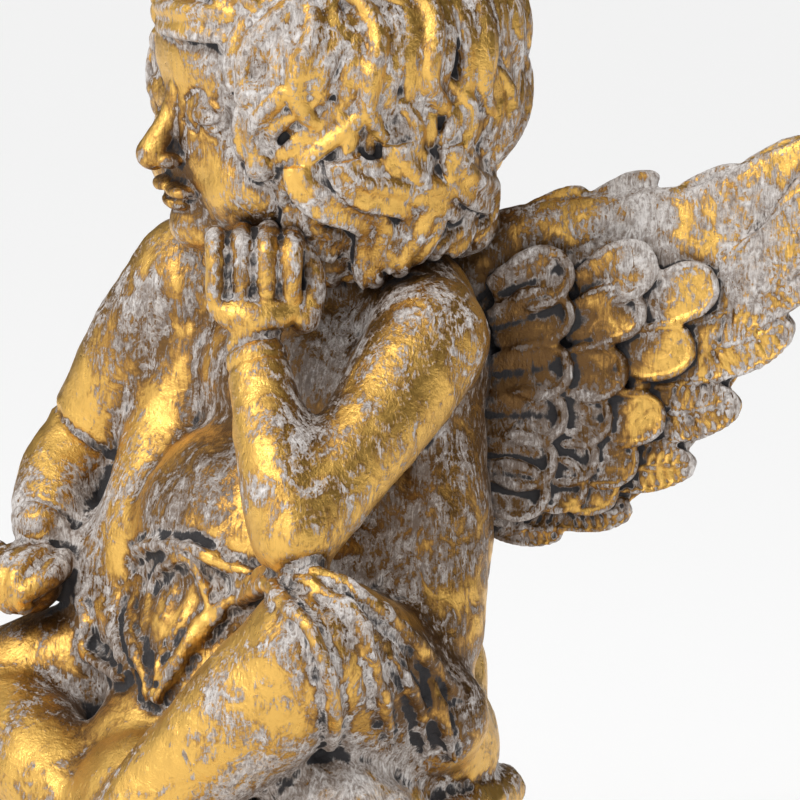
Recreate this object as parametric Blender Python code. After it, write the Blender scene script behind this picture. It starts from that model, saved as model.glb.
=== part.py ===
"""Seated cherub figurine, cast in one piece with its wings and its low rock base.

The figure sits with crossed shins, leans its left cheek on its left fist and rests its right hand on
its right knee. +X is the figure's left, -Y is its front and +Z is up. The origin is on the underside of
the base, below the middle of the seat. Lengths are in metres.
"""

import math

import bmesh
import bpy
import numpy as np
from mathutils import Matrix, Vector

# Driving sizes
FIGURE_HEIGHT = 0.141  # from the top of the base to the crown, where locks of hair stand 1 mm higher
BASE_THICKNESS = 0.011
BASE_MARGIN = 0.004  # how far the base reaches past the figure's own footprint

# The figure is modelled in units of 1/141 of its height, from the middle of its seat.
UNITS_IN_HEIGHT = 141.0
UNIT = FIGURE_HEIGHT / UNITS_IN_HEIGHT
GRAIN = 0.62  # size of the cells that fuse the forms into one skin, in units
BODY_GRAIN = 1.0  # the same for the first blending of the body and limbs
SKIN_TRIANGLES = 9300
GOLD = (0.55, 0.33, 0.09, 1.0)

# Joints of the pose, in units
PELVIS = (0, 0, 16)
BELLY = (-2, -3, 43)
CHEST = (-1, 0.5, 68)
NECK = (0, -2, 86)
HEAD = (0.5, -6.5, 111)
HEAD_YAW, HEAD_PITCH, HEAD_ROLL = math.radians(-10), math.radians(8), math.radians(11)
HEAD_SIZE = 22.5
LEFT_SHOULDER, LEFT_ELBOW, LEFT_WRIST = (21, -2, 77.5), (24, -27, 53), (11.5, -24.3, 77.5)
RIGHT_SHOULDER, RIGHT_ELBOW, RIGHT_WRIST = (-25, -7, 83), (-40, -14, 59), (-34, -27, 48.5)
LEFT_HIP, LEFT_KNEE, LEFT_ANKLE = (12, 3, 20), (28, -27, 37), (2, -46, 7)
RIGHT_HIP, RIGHT_KNEE, RIGHT_ANKLE = (-12, 3, 19), (-40, -30, 24.5), (4, -38, 4.5)

# The wing's own frame: span outwards from the shoulder blade, height above the seat
WING_ROOT = (8, 16)
WING_TURN_ROOT, WING_TURN_TIP = math.radians(52), math.radians(30)
WING_SPAN = 66.0
# Each long feather: span and height of its tip, half width, length, and its tilt in degrees
LONG_FEATHERS = [(12.7, 48.8, 2.8, 14, -12), (22.4, 51.7, 3.2, 20, -6), (31.3, 58.5, 3.7, 22, 0),
                 (37.6, 67, 4.5, 23, 5), (44.9, 78, 5.1, 26, 13), (52, 90, 5.1, 33, 28), (58, 102, 4.7, 37, 40),
                 (63, 112, 4.0, 38, 46)]
# Rows of coverts by the middles of their first, middle and last feather, from the lowest up
COVERT_ROWS = [[(16, 55.5), (22.5, 65), (30, 82.5)], [(11.5, 56), (16, 68), (21.5, 85.5)],
               [(6, 55), (9, 68.5), (9.5, 84.5)]]
WING_EDGE = [(-3, 76, 7.5), (4, 87, 6.0), (15.9, 90.7, 4.7), (23.5, 92.8, 3.8), (32, 94.2, 3.1), (40.5, 96.1, 3.1),
             (46.2, 100.2, 2.6), (55, 106.5, 2.1), (63, 113.5, 1.4)]


def vector(values):
    return np.array(values, float)


def spline(points, count):
    """Points of any dimension along a smooth curve through the given ones."""
    knots = np.array([points[0], *points, points[-1]], float)
    spans = len(points) - 1
    at = np.linspace(0, spans, count)
    low = np.minimum(at.astype(int), spans - 1)
    t = (at - low)[:, None]
    a, b, c, d = (knots[low + i] for i in range(4))
    return 0.5 * (2 * b + (c - a) * t + (2 * a - 5 * b + 4 * c - d) * t**2 + (3 * b - a - 3 * c + d) * t**3)


def unit_rows(rows):
    return rows / np.maximum(np.linalg.norm(rows, axis=1, keepdims=True), 1e-9)


def turned(direction, degrees_about):
    """A matrix that turns a form: three angles in degrees about X, Y and Z, then its long axis Z to direction."""
    spin = Matrix.Identity(3)
    for axis, angle in zip("XYZ", degrees_about):
        spin = Matrix.Rotation(math.radians(angle), 3, axis) @ spin
    aim = Vector(direction).to_track_quat("Z", "Y").to_matrix()
    return np.array(aim @ spin)


class Clay:
    """Closed forms that overlap, gathered before they are fused into one skin."""

    def __init__(self):
        self.points, self.faces, self.count = [], [], 0
        ball = bmesh.new()
        bmesh.ops.create_icosphere(ball, subdivisions=5, radius=1)
        ball.verts.index_update()
        self.ball_points = np.array([v.co for v in ball.verts])
        self.ball_faces = [[v.index for v in f.verts] for f in ball.faces]
        ball.free()

    def add(self, points, faces):
        self.points.append(np.asarray(points, float))
        self.faces += [[i + self.count for i in face] for face in faces]
        self.count += len(points)

    def ball(self, centre, radii, turn=None):
        """An ellipsoid."""
        radii = np.ones(3) * radii
        points = self.ball_points * radii
        if turn is not None:
            points = points @ np.asarray(turn).T
        self.add(points + vector(centre), self.ball_faces)

    def sweep(self, path, ups, half_widths, half_depths, sides=20, ridges=0, relief=0.0):
        """A skin round a path: an ellipse at each point, its depth along ups, with ridges on its outer side."""
        path, ups = np.asarray(path, float), np.asarray(ups, float)
        along = unit_rows(np.gradient(path, axis=0))
        across = unit_rows(np.cross(along, ups))
        ups = np.cross(across, along)
        angle = np.linspace(0, 2 * math.pi, sides, endpoint=False)
        swell = 1 + relief * np.cos(ridges * (angle - math.pi / 2)) * (np.sin(angle) > -0.2)
        wide = np.asarray(half_widths)[:, None] * np.cos(angle) * swell
        deep = np.asarray(half_depths)[:, None] * np.sin(angle) * swell
        rings = path[:, None] + wide[..., None] * across[:, None] + deep[..., None] * ups[:, None]
        count = len(path)
        faces = []
        for i in range(count - 1):
            for j in range(sides):
                k = (j + 1) % sides
                faces.append([i * sides + j, i * sides + k, (i + 1) * sides + k, (i + 1) * sides + j])
        faces.append(list(range(sides))[::-1])
        faces.append([(count - 1) * sides + j for j in range(sides)])
        self.add(rings.reshape(-1, 3), faces)

    def limb(self, points, sides=28):
        """A round limb through (x, y, z, radius) points, with a ball at each end."""
        course = spline(points, 8 * len(points))
        path, radii = course[:, :3], course[:, 3]
        along = path[-1] - path[0]
        side = np.cross(along, (0.31, 0.17, 0.93))
        self.sweep(path, np.tile(side, (len(path), 1)), radii, radii, sides)
        for end in (0, -1):
            self.ball(path[end], radii[end])

    def mesh(self, name):
        made = bpy.data.meshes.new(name)
        made.from_pydata(np.concatenate(self.points).tolist(), [], self.faces)
        return made


def evaluated_copy(mesh, add_modifiers):
    """The mesh with modifiers applied."""
    obj = bpy.data.objects.new("worked", mesh)
    bpy.context.scene.collection.objects.link(obj)
    add_modifiers(obj)
    graph = bpy.context.evaluated_depsgraph_get()
    result = bpy.data.meshes.new_from_object(obj.evaluated_get(graph), depsgraph=graph)
    bpy.data.objects.remove(obj)
    return result


def fused(clay, grain, soften):
    """The forms fused into one skin and softened."""

    def modifiers(obj):
        remesh = obj.modifiers.new("fuse", "REMESH")
        remesh.mode = "VOXEL"
        remesh.voxel_size = grain
        smooth = obj.modifiers.new("soften", "SMOOTH")
        smooth.iterations = soften
        smooth.factor = 0.5

    return evaluated_copy(clay.mesh("forms"), modifiers)


def thinned(mesh, triangles):
    """The mesh thinned to about that many triangles."""

    def modifiers(obj):
        decimate = obj.modifiers.new("thin", "DECIMATE")
        decimate.ratio = triangles / sum(len(face.vertices) - 2 for face in mesh.polygons)

    return evaluated_copy(mesh, modifiers)


def add_mesh(clay, mesh):
    points = np.empty(len(mesh.vertices) * 3)
    mesh.vertices.foreach_get("co", points)
    clay.add(points.reshape(-1, 3), [list(face.vertices) for face in mesh.polygons])


def torso(clay):
    """The trunk with its chest, belly, shoulders, back and neck."""
    clay.ball(PELVIS, (22, 17, 16))
    clay.ball(BELLY, (23, 23, 19))
    clay.ball(CHEST, (21.5, 17, 18))
    clay.ball((-9, -7.5, 70), (11.5, 7.5, 10))
    clay.ball((9, -6.5, 68), (11.5, 7.5, 10))
    clay.limb([(*NECK[:2], 76, 12), (*NECK, 10.5), (0.5, -4, 96, 10)])
    clay.limb([(-23, -5, 81, 8), (-10, 1, 82, 9), (0, 3, 83, 9.5), (10, 3, 81.5, 9), (20, -1, 77, 8.5)])
    clay.ball((-5, -9.5, 49), (20, 18, 17))
    clay.limb([(-22, -8, 74, 6), (-24, -11, 62, 7.5), (-21, -16, 46, 10)])
    clay.limb([(16, 3, 70, 7), (17.5, 1, 55, 8.5), (17, -1, 38, 10)])
    for side in (-1, 1):
        clay.ball((side * 8.5, 6.5, 14), (11, 8.5, 12))
        clay.ball((side * 8.5, 8.5, 50), (10, 8, 20))
        clay.ball((side * 9.5, 10, 74), (7, 6.5, 12), turned((-side * 0.25, 0, 1), (0, 0, 0)))


def between(a, b, share, radius, push=(0, 0, 0)):
    """A limb point a share of the way from a to b, moved by push."""
    return (*(vector(a) + (vector(b) - vector(a)) * share + vector(push)), radius)


def arms(clay):
    """Both arms down to the wrists."""
    clay.limb([(*LEFT_SHOULDER, 8.8), between(LEFT_SHOULDER, LEFT_ELBOW, 0.45, 7.3, (1, 0.5, 0)),
               (*LEFT_ELBOW, 6.4)])
    clay.limb([(*LEFT_ELBOW, 6.4), between(LEFT_ELBOW, LEFT_WRIST, 0.35, 6.2, (0.8, -0.8, 0)),
               between(LEFT_ELBOW, LEFT_WRIST, 0.75, 4.9, (0.3, -0.4, 0)), (*LEFT_WRIST, 4.3)])
    clay.limb([(*RIGHT_SHOULDER, 9.2), between(RIGHT_SHOULDER, RIGHT_ELBOW, 0.5, 8.1, (-0.6, -1.2, 0)),
               (*RIGHT_ELBOW, 7.1)])
    clay.limb([(*RIGHT_ELBOW, 7.1), between(RIGHT_ELBOW, RIGHT_WRIST, 0.45, 6.7, (-1.0, -0.8, 0)),
               (*RIGHT_WRIST, 4.7)])


def legs(clay):
    """Both thighs, knees and shins."""
    clay.limb([(*LEFT_HIP, 11.5), between(LEFT_HIP, LEFT_KNEE, 0.5, 11.3, (0, 0, 2)), (*LEFT_KNEE, 10.3)])
    clay.limb([between(LEFT_KNEE, LEFT_ANKLE, 0.03, 9.9),
               between(LEFT_KNEE, LEFT_ANKLE, 0.35, 9.3, (0.5, 0.5, 0.5)),
               between(LEFT_KNEE, LEFT_ANKLE, 0.75, 6.8), (*LEFT_ANKLE, 5.2)])
    clay.limb([(*RIGHT_HIP, 11.5), between(RIGHT_HIP, RIGHT_KNEE, 0.5, 10.8, (-1, 0, 3)), (*RIGHT_KNEE, 9.4)])
    clay.limb([between(RIGHT_KNEE, RIGHT_ANKLE, 0.03, 9.2, (0, 0, -1.5)),
               between(RIGHT_KNEE, RIGHT_ANKLE, 0.4, 8.8, (0, -2, 0)),
               between(RIGHT_KNEE, RIGHT_ANKLE, 0.75, 6.8), (*RIGHT_ANKLE, 5.2)])


def left_fist(clay):
    """The fist under the cheek: heel of the hand, four folded fingers and the thumb."""
    wrist = vector(LEFT_WRIST)
    aim = unit_rows(vector([(-0.1, 0.1, 0.99)]))[0]
    facing = unit_rows(vector([(0.78, -0.62, 0.1)]))[0]
    side = np.cross(aim, facing)

    def at(right, up, out):
        return wrist - side * right + aim * up + facing * out

    clay.ball(at(0, 8.5, -1.8), (6.2, 4.8, 7.6), turned(aim, (0, 0, 0)))
    shares = np.linspace(-1, 1, 11)
    heel = [at(6.2 * r, 3.4 + 2.4 * r * r, 2.1 - 1.2 * r * r) for r in shares]
    girth = np.sqrt(1.05 - shares**2 * 0.85)
    clay.sweep(heel, np.tile(facing, (11, 1)), 2.9 * girth, 2.4 * girth, 16)
    for i in range(4):
        r = -5.0 + 3.45 * i
        top = 14.6 - 0.25 * (i - 1.4) ** 2
        clay.limb([(*at(r, 6.4, 2.2), 1.5), (*at(r, 10, 3.3), 1.62), (*at(r * 1.03, top - 1, 2.9), 1.6),
                   (*at(r, top + 0.6, 0), 1.6)], 14)
    clay.limb([(*at(-6.6, 3.5, 0), 2.2), (*at(-8, 8, 0), 1.9), (*at(-6.8, 12.5, 0.2), 1.6)], 14)


def right_hand(clay):
    """The loose fist that rests on the right knee."""
    clay.ball((-33.2, -30.5, 41.5), (5.8, 5.6, 5.2), turned((0.1, -0.4, 0.9), (0, 0, 0)))
    for i in range(4):
        x = -37.2 + 2.5 * i
        y = 0.9 * (i - 1)
        clay.limb([(x, -31.5 + y, 45, 1.8), (x, -35 + y, 44, 1.75), (x + 0.2, -36.8 + y, 41, 1.7),
                   (x + 0.3, -35.2 + y, 38.3, 1.6)], 14)
    clay.limb([(-28.6, -27.5, 44, 2.2), (-27.2, -31, 42.4, 2.0), (-28.4, -34.4, 40.2, 1.7)], 14)


def foot(clay, heel, toe, up):
    """A plump foot from heel to toe, with its instep towards up."""
    heel, toe = vector(heel), vector(toe)
    along = unit_rows((toe - heel)[None])[0]
    across = unit_rows(np.cross(up, along)[None])[0]
    up = np.cross(along, across)
    length = np.linalg.norm(toe - heel)
    clay.limb([(*heel, 4.6), (*(heel + along * length * 0.5 + up * 0.6), 4.3),
               (*(heel + along * length * 0.85), 3.6)])
    clay.ball(heel + along * length * 0.78, (5.4, 3.2, 5.0), np.stack([across, up, along], 1))
    sign = 1 if across[0] > 0 else -1
    toes = ((-3.7, 2.1, 0.6), (-1.5, 1.5, 1.1), (0.4, 1.4, 0.8), (2.1, 1.3, 0.2), (3.6, 1.15, -0.8))
    for shift, radius, reach in toes:  # from the great toe outwards
        start = heel + across * shift * sign * 0.9 + along * (length - 2) - up * 0.6
        clay.limb([(*start, radius), (*(start + along * (2 + reach)), radius * 0.95)], 12)


def feet(clay):
    """Both feet, crossed in front."""
    foot(clay, (6.5, -46.5, 5.5), (-10, -50.5, 3.6), (0.1, -0.35, 0.9))
    foot(clay, (-1, -36, 4.5), (16.5, -44.5, 3.4), (0.2, -0.3, 0.9))


def arc(clay, centre, axis, radii, start, end, tube, count=24, flat=0.8):
    """A fold that runs round a limb: an arc about an axis, from start to end in degrees, its tube thinning out."""
    turn = turned(axis, (0, 0, 0))
    angle = np.radians(np.linspace(start, end, count))
    rays = np.stack([np.cos(angle), np.sin(angle), np.zeros(count)], -1) @ turn.T
    size = np.stack([np.cos(angle) * radii[0], np.sin(angle) * radii[1], np.zeros(count)], -1) @ turn.T
    girth = tube * np.clip(np.sin(np.linspace(0, math.pi, count)) * 2.2, 0.15, 1)
    clay.sweep(size + vector(centre), rays, girth, girth * flat, 14)


def lap_cloth(clay):
    """The mass of the cloth: over the left thigh, between the thighs and round the hips."""
    clay.limb([(*LEFT_HIP, 12.2), between(LEFT_HIP, LEFT_KNEE, 0.45, 12.2, (0, 0.3, 2)),
               between(LEFT_HIP, LEFT_KNEE, 0.86, 11.2, (0, 0.8, 1.0))])
    clay.ball((-7, -18, 27), (18, 13, 13.5))
    clay.ball((-2, -33, 13), (12, 10, 11))
    clay.ball((-9, -19, 38.5), (12, 8, 10))
    clay.ball((-19, -23, 36), (6.5, 4.5, 6))
    clay.ball((-5, -21.5, 43), (10, 5.5, 7))
    clay.ball((-5, -24, 34.5), (9.5, 6.4, 8.5))
    clay.ball((-9, -27, 21), (10, 8, 8))
    clay.ball((24.5, -4, 26), (8, 8.5, 8))
    clay.ball((-26.5, -17.5, 40.5), (9.5, 9.5, 12))
    for side in (-1, 1):
        clay.ball((side * 7.5, 8.5, 29), (9.5, 8.5, 11.5))
    clay.limb([(-14, -12, 34, 9), (-27, -19, 31.5, 8), (-36, -27, 28.5, 7.5)])
    clay.ball((0, -1, 4), (25, 19, 12))
    clay.ball((16, -14, 3), (15, 15, 12))
    clay.limb([(15, -4, 10, 10), (23, -20, 13, 10)])


# Ridges of the cloth, each by its points and its radius: between the thighs, then over the left thigh and hip
LAP_RIDGES = [([(-4.5, -27.5, 35.5), (-11.5, -24.5, 40), (-6.5, -27, 45), (-1.5, -27.5, 47), (1.5, -26.5, 46),
                (3, -25.5, 40)], 1.2),
              ([(-21.5, -26, 39.5), (-20, -26, 37), (-15.5, -28, 34), (-10, -30.5, 31.5)], 1.0),
              ([(-18.5, -23.5, 40.5), (-12, -27.5, 37), (-6.5, -30.5, 33), (-4, -31, 28)], 1.7),
              ([(-4.5, -28, 37), (-2.5, -30.5, 32.5), (-3, -31.5, 28)], 1.2),
              ([(7, -24, 42.5), (2.5, -26, 38.5), (0.5, -28.5, 34), (-2, -31, 28)], 1.9),
              ([(-20, -22, 44), (-11.5, -26.5, 47.5), (-0.5, -27.5, 49), (6, -25, 46.5), (11, -22.5, 46)], 1.3),
              ([(-27, -25.5, 41), (-25, -27, 38.5), (-23.5, -26.8, 35.5), (-24, -27, 32), (-17, -28.5, 30.5),
                (-10, -31, 30)], 1.3),
              ([(-22.5, -24.6, 41), (-18.5, -26, 37), (-13, -28.4, 33.5), (-8, -30.2, 31)], 1.6)]
THIGH_RIDGES = [([(2, -25, 40), (8.5, -24, 42.5), (22, -30, 46), (30.5, -33.5, 44.5), (35, -33, 42),
                  (37, -32.5, 38.5), (37, -31, 34), (33.5, -27.5, 28), (27, -23.5, 24)], 1.5),
                ([(25, -30, 47.5), (30, -29, 47), (36, -26.5, 43.5), (38, -25.5, 39.5), (37, -23, 34.5),
                  (35, -20, 29.5), (31, -16, 25)], 1.4),
                ([(6.5, -24, 44), (16, -25.5, 46.5), (25, -29, 48), (30.5, -26.5, 47.5), (34.5, -22, 44),
                  (34.5, -15, 38.5), (32.5, -9.5, 34), (29.5, -3, 29), (26, 3, 25.5)], 1.7),
                ([(36.5, -20, 37), (35.5, -17, 33.5), (33, -13, 29), (30, -9, 23)], 1.4),
                ([(33, -11, 33.5), (33, -9, 28), (31, -5, 21)], 1.6)]


def ridge(clay, points, radius):
    """A ridge of cloth along points, thinner towards both ends."""
    last = len(points) - 1
    clay.limb([(*point, radius * (0.55 if i in (0, last) else 1)) for i, point in enumerate(points)], 14)


def stack(clay, rings):
    """A closed form through rings of equally many points, from the lowest up."""
    count = len(rings[0])
    last = len(rings) - 1
    faces = []
    for low in range(0, last * count, count):
        for j in range(count):
            beside = (j + 1) % count
            faces.append([low + j, low + beside, low + count + beside, low + count + j])
    faces += [list(range(count))[::-1], [last * count + j for j in range(count)]]
    clay.add(np.concatenate(rings), faces)


def skirt(clay, middle, spread, waves, height):
    """Cloth that falls to the ground round a middle, wider and more deeply folded towards its foot."""
    angle = np.linspace(0, 2 * math.pi, 132, endpoint=False)
    levels = (-0.15, 0.05, 0.3, 0.55, 0.8, 0.93, 1)
    reaches = (1.05, 1.02, 0.96, 0.92, 0.86, 0.77, 0.6)
    rings = []
    for level, reach in zip(levels, reaches):
        wander = angle + 0.17 * np.sin(3 * angle + 2 * level) + 0.06 * np.sin(7 * angle)
        wave = 0.13 * np.abs(np.sin(waves / 2 * wander)) ** 0.8
        wave += 0.03 * np.sin((waves + 4) * wander + 3 * level)
        swell = reach * (1 + (wave - 0.06) * (1.2 - level))
        x = middle[0] + spread[0] * swell * np.cos(angle)
        y = middle[1] + spread[1] * swell * np.sin(angle)
        rings.append(np.stack([x, y, np.full(132, level * height)], -1))
    stack(clay, rings)


def folds(clay):
    """The folds of the cloth: between the thighs, over the left thigh, round the hips and round the seat."""
    for points, radius in LAP_RIDGES + THIGH_RIDGES:
        ridge(clay, points, radius)
    for level, drop, reach in ((26, 3, 0.93), (20, 5, 1.0)):
        band = [(-22, -6, level), (-19, 6, level - drop * 0.6), (-9, 13.5, level - drop),
                (0, 14.4, level - drop * 1.1), (9, 13.5, level - drop), (17, 6, level - drop * 0.6),
                (20, -3, level)]
        clay.limb([(x * reach, y * reach, z, 1.7) for x, y, z in band], 12)
    skirt(clay, (1, 0.5), (25.2, 20.7), 13, 17)
    skirt(clay, (21, -17), (13, 11.5), 7, 19)
    roll = [(-19, 9.5, 13), (-11, 14.5, 12.5), (0, 17, 12), (9, 17, 12.5), (15.5, 14.5, 13), (20, 7, 13),
            (24.5, -1, 11)]
    clay.limb([(*p, 4.3) for p in roll], 18)


def head_place():
    """The head's turning matrix and centre."""
    turn = (Matrix.Rotation(HEAD_YAW, 3, "Z") @ Matrix.Rotation(HEAD_ROLL, 3, "Y")
            @ Matrix.Rotation(HEAD_PITCH, 3, "X"))
    return np.array(turn), vector(HEAD)


def on_head(points):
    """Points of the head's own frame, in shares of its size, in units."""
    turn, centre = head_place()
    return np.atleast_2d(vector(points)) * HEAD_SIZE @ turn.T + centre


def head_part(clay, centre, radii):
    """A ball of the head, in its own frame and in shares of its size."""
    clay.ball(on_head(centre)[0], np.ones(3) * radii * HEAD_SIZE, head_place()[0])


def head_mass(clay):
    """The skull, the forehead, the cheeks and the jaw."""
    head_part(clay, (0, 0.1, 0.16), (0.88, 1.0, 0.9))
    head_part(clay, (0, -0.28, -0.12), (0.78, 0.68, 0.84))
    head_part(clay, (0, -0.42, 0.3), (0.66, 0.52, 0.5))
    for side in (-1, 1):
        head_part(clay, (side * 0.38, -0.54, -0.4), (0.37, 0.37, 0.35))
    head_part(clay, (0, -0.5, -0.72), (0.46, 0.42, 0.26))
    head_part(clay, (0, -0.78, -0.74), (0.22, 0.2, 0.17))
    head_part(clay, (0, -0.72, -0.45), (0.3, 0.22, 0.25))


def features(clay):
    """The closed eyes, the nose and the lips."""
    for side in (-1, 1):
        head_part(clay, (side * 0.3, -0.76, 0.04), (0.21, 0.17, 0.14))
        head_part(clay, (side * 0.085, -1.0, -0.27), (0.075, 0.09, 0.06))
        head_part(clay, (side * 0.085, -0.93, -0.475), (0.125, 0.1, 0.055))
    head_part(clay, (0, -0.91, -0.56), (0.125, 0.1, 0.06))
    bridge = on_head([(0, -0.86, 0.14), (0, -0.93, -0.02), (0, -1.02, -0.16), (0, -1.07, -0.24)])
    clay.limb([(*p, r * HEAD_SIZE) for p, r in zip(bridge, (0.09, 0.085, 0.095, 0.105))])


def head(clay):
    """The head's masses blended into one, then its features."""
    masses = Clay()
    head_mass(masses)
    add_mesh(clay, fused(masses, BODY_GRAIN, 10))
    features(clay)


def hair_radius(direction):
    """How far the hair's ground reaches from the head's centre along a direction, in shares of the head's size."""
    x, y, z = np.moveaxis(np.asarray(direction, float), -1, 0)
    return 1 / np.sqrt((x / 0.93) ** 2 + (y / 1.05) ** 2 + (z / 1.03) ** 2)


def hair_direction(turn, rise):
    """A direction from the head's centre: turn is from the front towards the figure's left, both in degrees."""
    turn, rise = np.radians(turn), np.radians(rise)
    return np.stack([np.sin(turn) * np.cos(rise), -np.cos(turn) * np.cos(rise), np.sin(rise)], -1)


def lock(clay, start, end, width, wave=0.0, lift=0.05, curl=0.0, depth=0.62, out=0.05):
    """A lock of hair over the head from start to end, each (turn, rise). curl rolls its tip, out raises it."""
    count = 22
    t = np.linspace(0, 1, count)
    turn = start[0] + (end[0] - start[0]) * t + wave * np.sin(2 * math.pi * t)
    rise = start[1] + (end[1] - start[1]) * t
    rays = hair_direction(turn, rise)
    radius = hair_radius(rays) + out + lift * np.sin(math.pi * t) ** 2
    path = on_head(rays * radius[:, None] + np.array((0, 0.1, 0.1)))
    ups = rays @ head_place()[0].T
    profile = np.sqrt(np.clip(1 - (2 * t - 1) ** 6, 0, 1)) * (0.62 + 0.38 * np.sin(math.pi * (0.12 + 0.76 * t)))
    profile = np.maximum(profile, 0.12)
    if curl:
        along = unit_rows(path[-1:] - path[-3:-2])[0]
        up = ups[-1] - along * (ups[-1] @ along)
        up /= np.linalg.norm(up)
        swing = np.linspace(0, 1.45 * math.pi, 12)[1:]
        size = curl * (1 - 0.42 * swing / swing[-1])
        hook = path[-1] + (np.sin(swing) * size)[:, None] * along + ((1 - np.cos(swing)) * size)[:, None] * up
        outward = np.cos(swing)[:, None] * up - np.sin(swing)[:, None] * along
        path, ups = np.concatenate([path, hook]), np.concatenate([ups, outward])
        profile[-4:] = profile[-5]
        profile = np.concatenate([profile, profile[-1] * np.linspace(0.95, 0.45, len(swing))])
    clay.sweep(path, ups, profile * width, profile * width * depth, 44, 6, 0.13)


# Locks that hang below the head on its left, from the cheek round to the nape
LOW_TRESSES = [[(18, -21, 102), (20, -16, 98), (18.5, -9.5, 92), (16.5, -6, 86.5)],
               [(23, -18, 103), (23, -11, 99.5), (21.5, -5, 94), (19, -3.5, 87.5)],
               [(25, -10, 105), (23, -2.5, 99), (19, 4, 93.5), (18, 2.5, 88.5)],
               [(25.5, -1.5, 104.5), (21, 6, 99), (16, 11, 94), (15, 9, 90)],
               [(15.5, -17.5, 96), (13.5, -12.5, 91), (10, -8, 86)]]


def tress(clay, points, width):
    """A hanging wavy lock through the points, its strands turned away from the neck."""
    path = spline(points, 22)
    ups = path - vector(NECK)
    ups[:, 2] = 1
    across = unit_rows(np.cross(np.gradient(path, axis=0), ups))
    path = path + across * (0.42 * width * np.sin(np.linspace(0, 2.6 * math.pi, 22)))[:, None]
    girth = width * (0.55 + 0.45 * np.sin(np.linspace(0.25, math.pi - 0.2, 22)))
    clay.sweep(path, ups, girth, girth * 0.62, 44, 6, 0.13)
    clay.ball(path[-1], girth[-1] * 0.6)


def hair(clay):
    """Locks in tiers, each as long as it is wide across three or four, over the balls that carry them."""
    turn = head_place()[0]
    clay.ball(on_head((0, 0.27, 0.3))[0], HEAD_SIZE * vector((1.03, 1.05, 0.96)), turn)
    clay.ball(on_head((0, 0.42, 0.02))[0], HEAD_SIZE * vector((1.03, 0.9, 1.0)), turn)
    clay.ball(on_head((0, 0.4, -0.34))[0], HEAD_SIZE * vector((0.88, 0.72, 0.68)), turn)
    clay.ball((3.5, 9, 95.5), (12, 9.5, 9.5))
    clay.ball((11, -3, 94.5), (11, 9.5, 9.5))
    clay.ball((-9, -1, 98), (10, 9.5, 9))
    for points in LOW_TRESSES:
        tress(clay, points, 4.2)
        if len(points) > 3:
            tress(clay, [(1.5 - 0.9 * x, y + 2, z + 3) for x, y, z in points], 4.2)
    for side in (-1, 1):
        clay.ball(on_head((side * 0.6, -0.2, 0))[0], HEAD_SIZE * vector((0.38, 0.5, 0.55)), turn)
        clay.ball(on_head((side * 0.56, -0.38, -0.18))[0], HEAD_SIZE * vector((0.29, 0.32, 0.34)), turn)
    for i in range(13):  # from the crown over the top
        turn_to = -166 + 27.7 * i
        lock(clay, (turn_to - 75, 84), (turn_to, 27 + 6 * (i % 2)), 4.7, 7 * (-1) ** i, 0.06, 0, 0.78)
    for i in range(12):  # the middle tier
        turn_to = 62 + 21.5 * i
        lock(clay, (turn_to - 16, 48), (turn_to + 8, -8 - 8 * (i % 2)), 4.4, 8, 0.06, 1.7 * (i % 2), 0.85)
    for i in range(12):  # the lower tier
        turn_to = 66 + 21.5 * i
        lock(clay, (turn_to - 8, 12), (turn_to + 9, -40 - 6 * (i % 2)), 4.1, 8, 0.06, 1.8, 0.85)
    for i in range(8):  # the nape
        turn_to = 84 + 27 * i
        lock(clay, (turn_to - 8, -18), (turn_to + 4, -60), 3.9, 5 * (-1) ** i, 0.05, 1.6, 0.8)
    for i in range(5):
        angle = math.radians(20 + 35 * i)
        x, y = 3 + 11 * math.cos(angle), 8.5 + 8.5 * math.sin(angle)
        clay.limb([(x * 0.95, y * 0.95, 100, 3.4), (x, y, 95, 3.3), (x + 1.5, y, 91, 2.6),
                   (x - 0.6, y * 0.9, 89, 1.8)], 18)
    for side, width, out in ((1, 4.0, 0.05), (-1, 3.8, -0.06)):  # the temples
        for start, end in (((66, 60), (40, 10)), ((72, 40), (42, -13)), ((82, 24), (50, -34)), ((92, 6), (62, -58)),
                           ((104, -10), (80, -66))):
            lock(clay, (side * start[0], start[1]), (side * end[0], end[1]), width, side * 7, 0.05, 1.4, 0.8, out)
    for i in range(4):  # the fringe
        turn_to = -36 + 24 * i
        lock(clay, (turn_to + 16, 56), (turn_to - 6, 26), 4.2, 8 * (-1) ** i, 0.02, 0.8, 0.8, -0.03)
    lock(clay, (46, 36), (-14, 25), 4.0, 6, 0.04, 0, 0.8, -0.01)


def wing_place(side, span, height, out):
    """Points of a wing, out towards its front face. It turns from backwards to sideways along its span."""
    span, height, out = (np.asarray(v, float) for v in (span, height, out))
    share = np.clip(span / WING_SPAN, -0.2, 1.1)
    change = WING_TURN_TIP - WING_TURN_ROOT
    mean = WING_TURN_ROOT + change * share / 2
    here = WING_TURN_ROOT + change * share
    x = WING_ROOT[0] + span * np.cos(mean) + out * np.sin(here)
    y = WING_ROOT[1] + span * np.sin(mean) - out * np.cos(here)
    return np.stack([side * x, y, height + 0 * span], -1)


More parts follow.
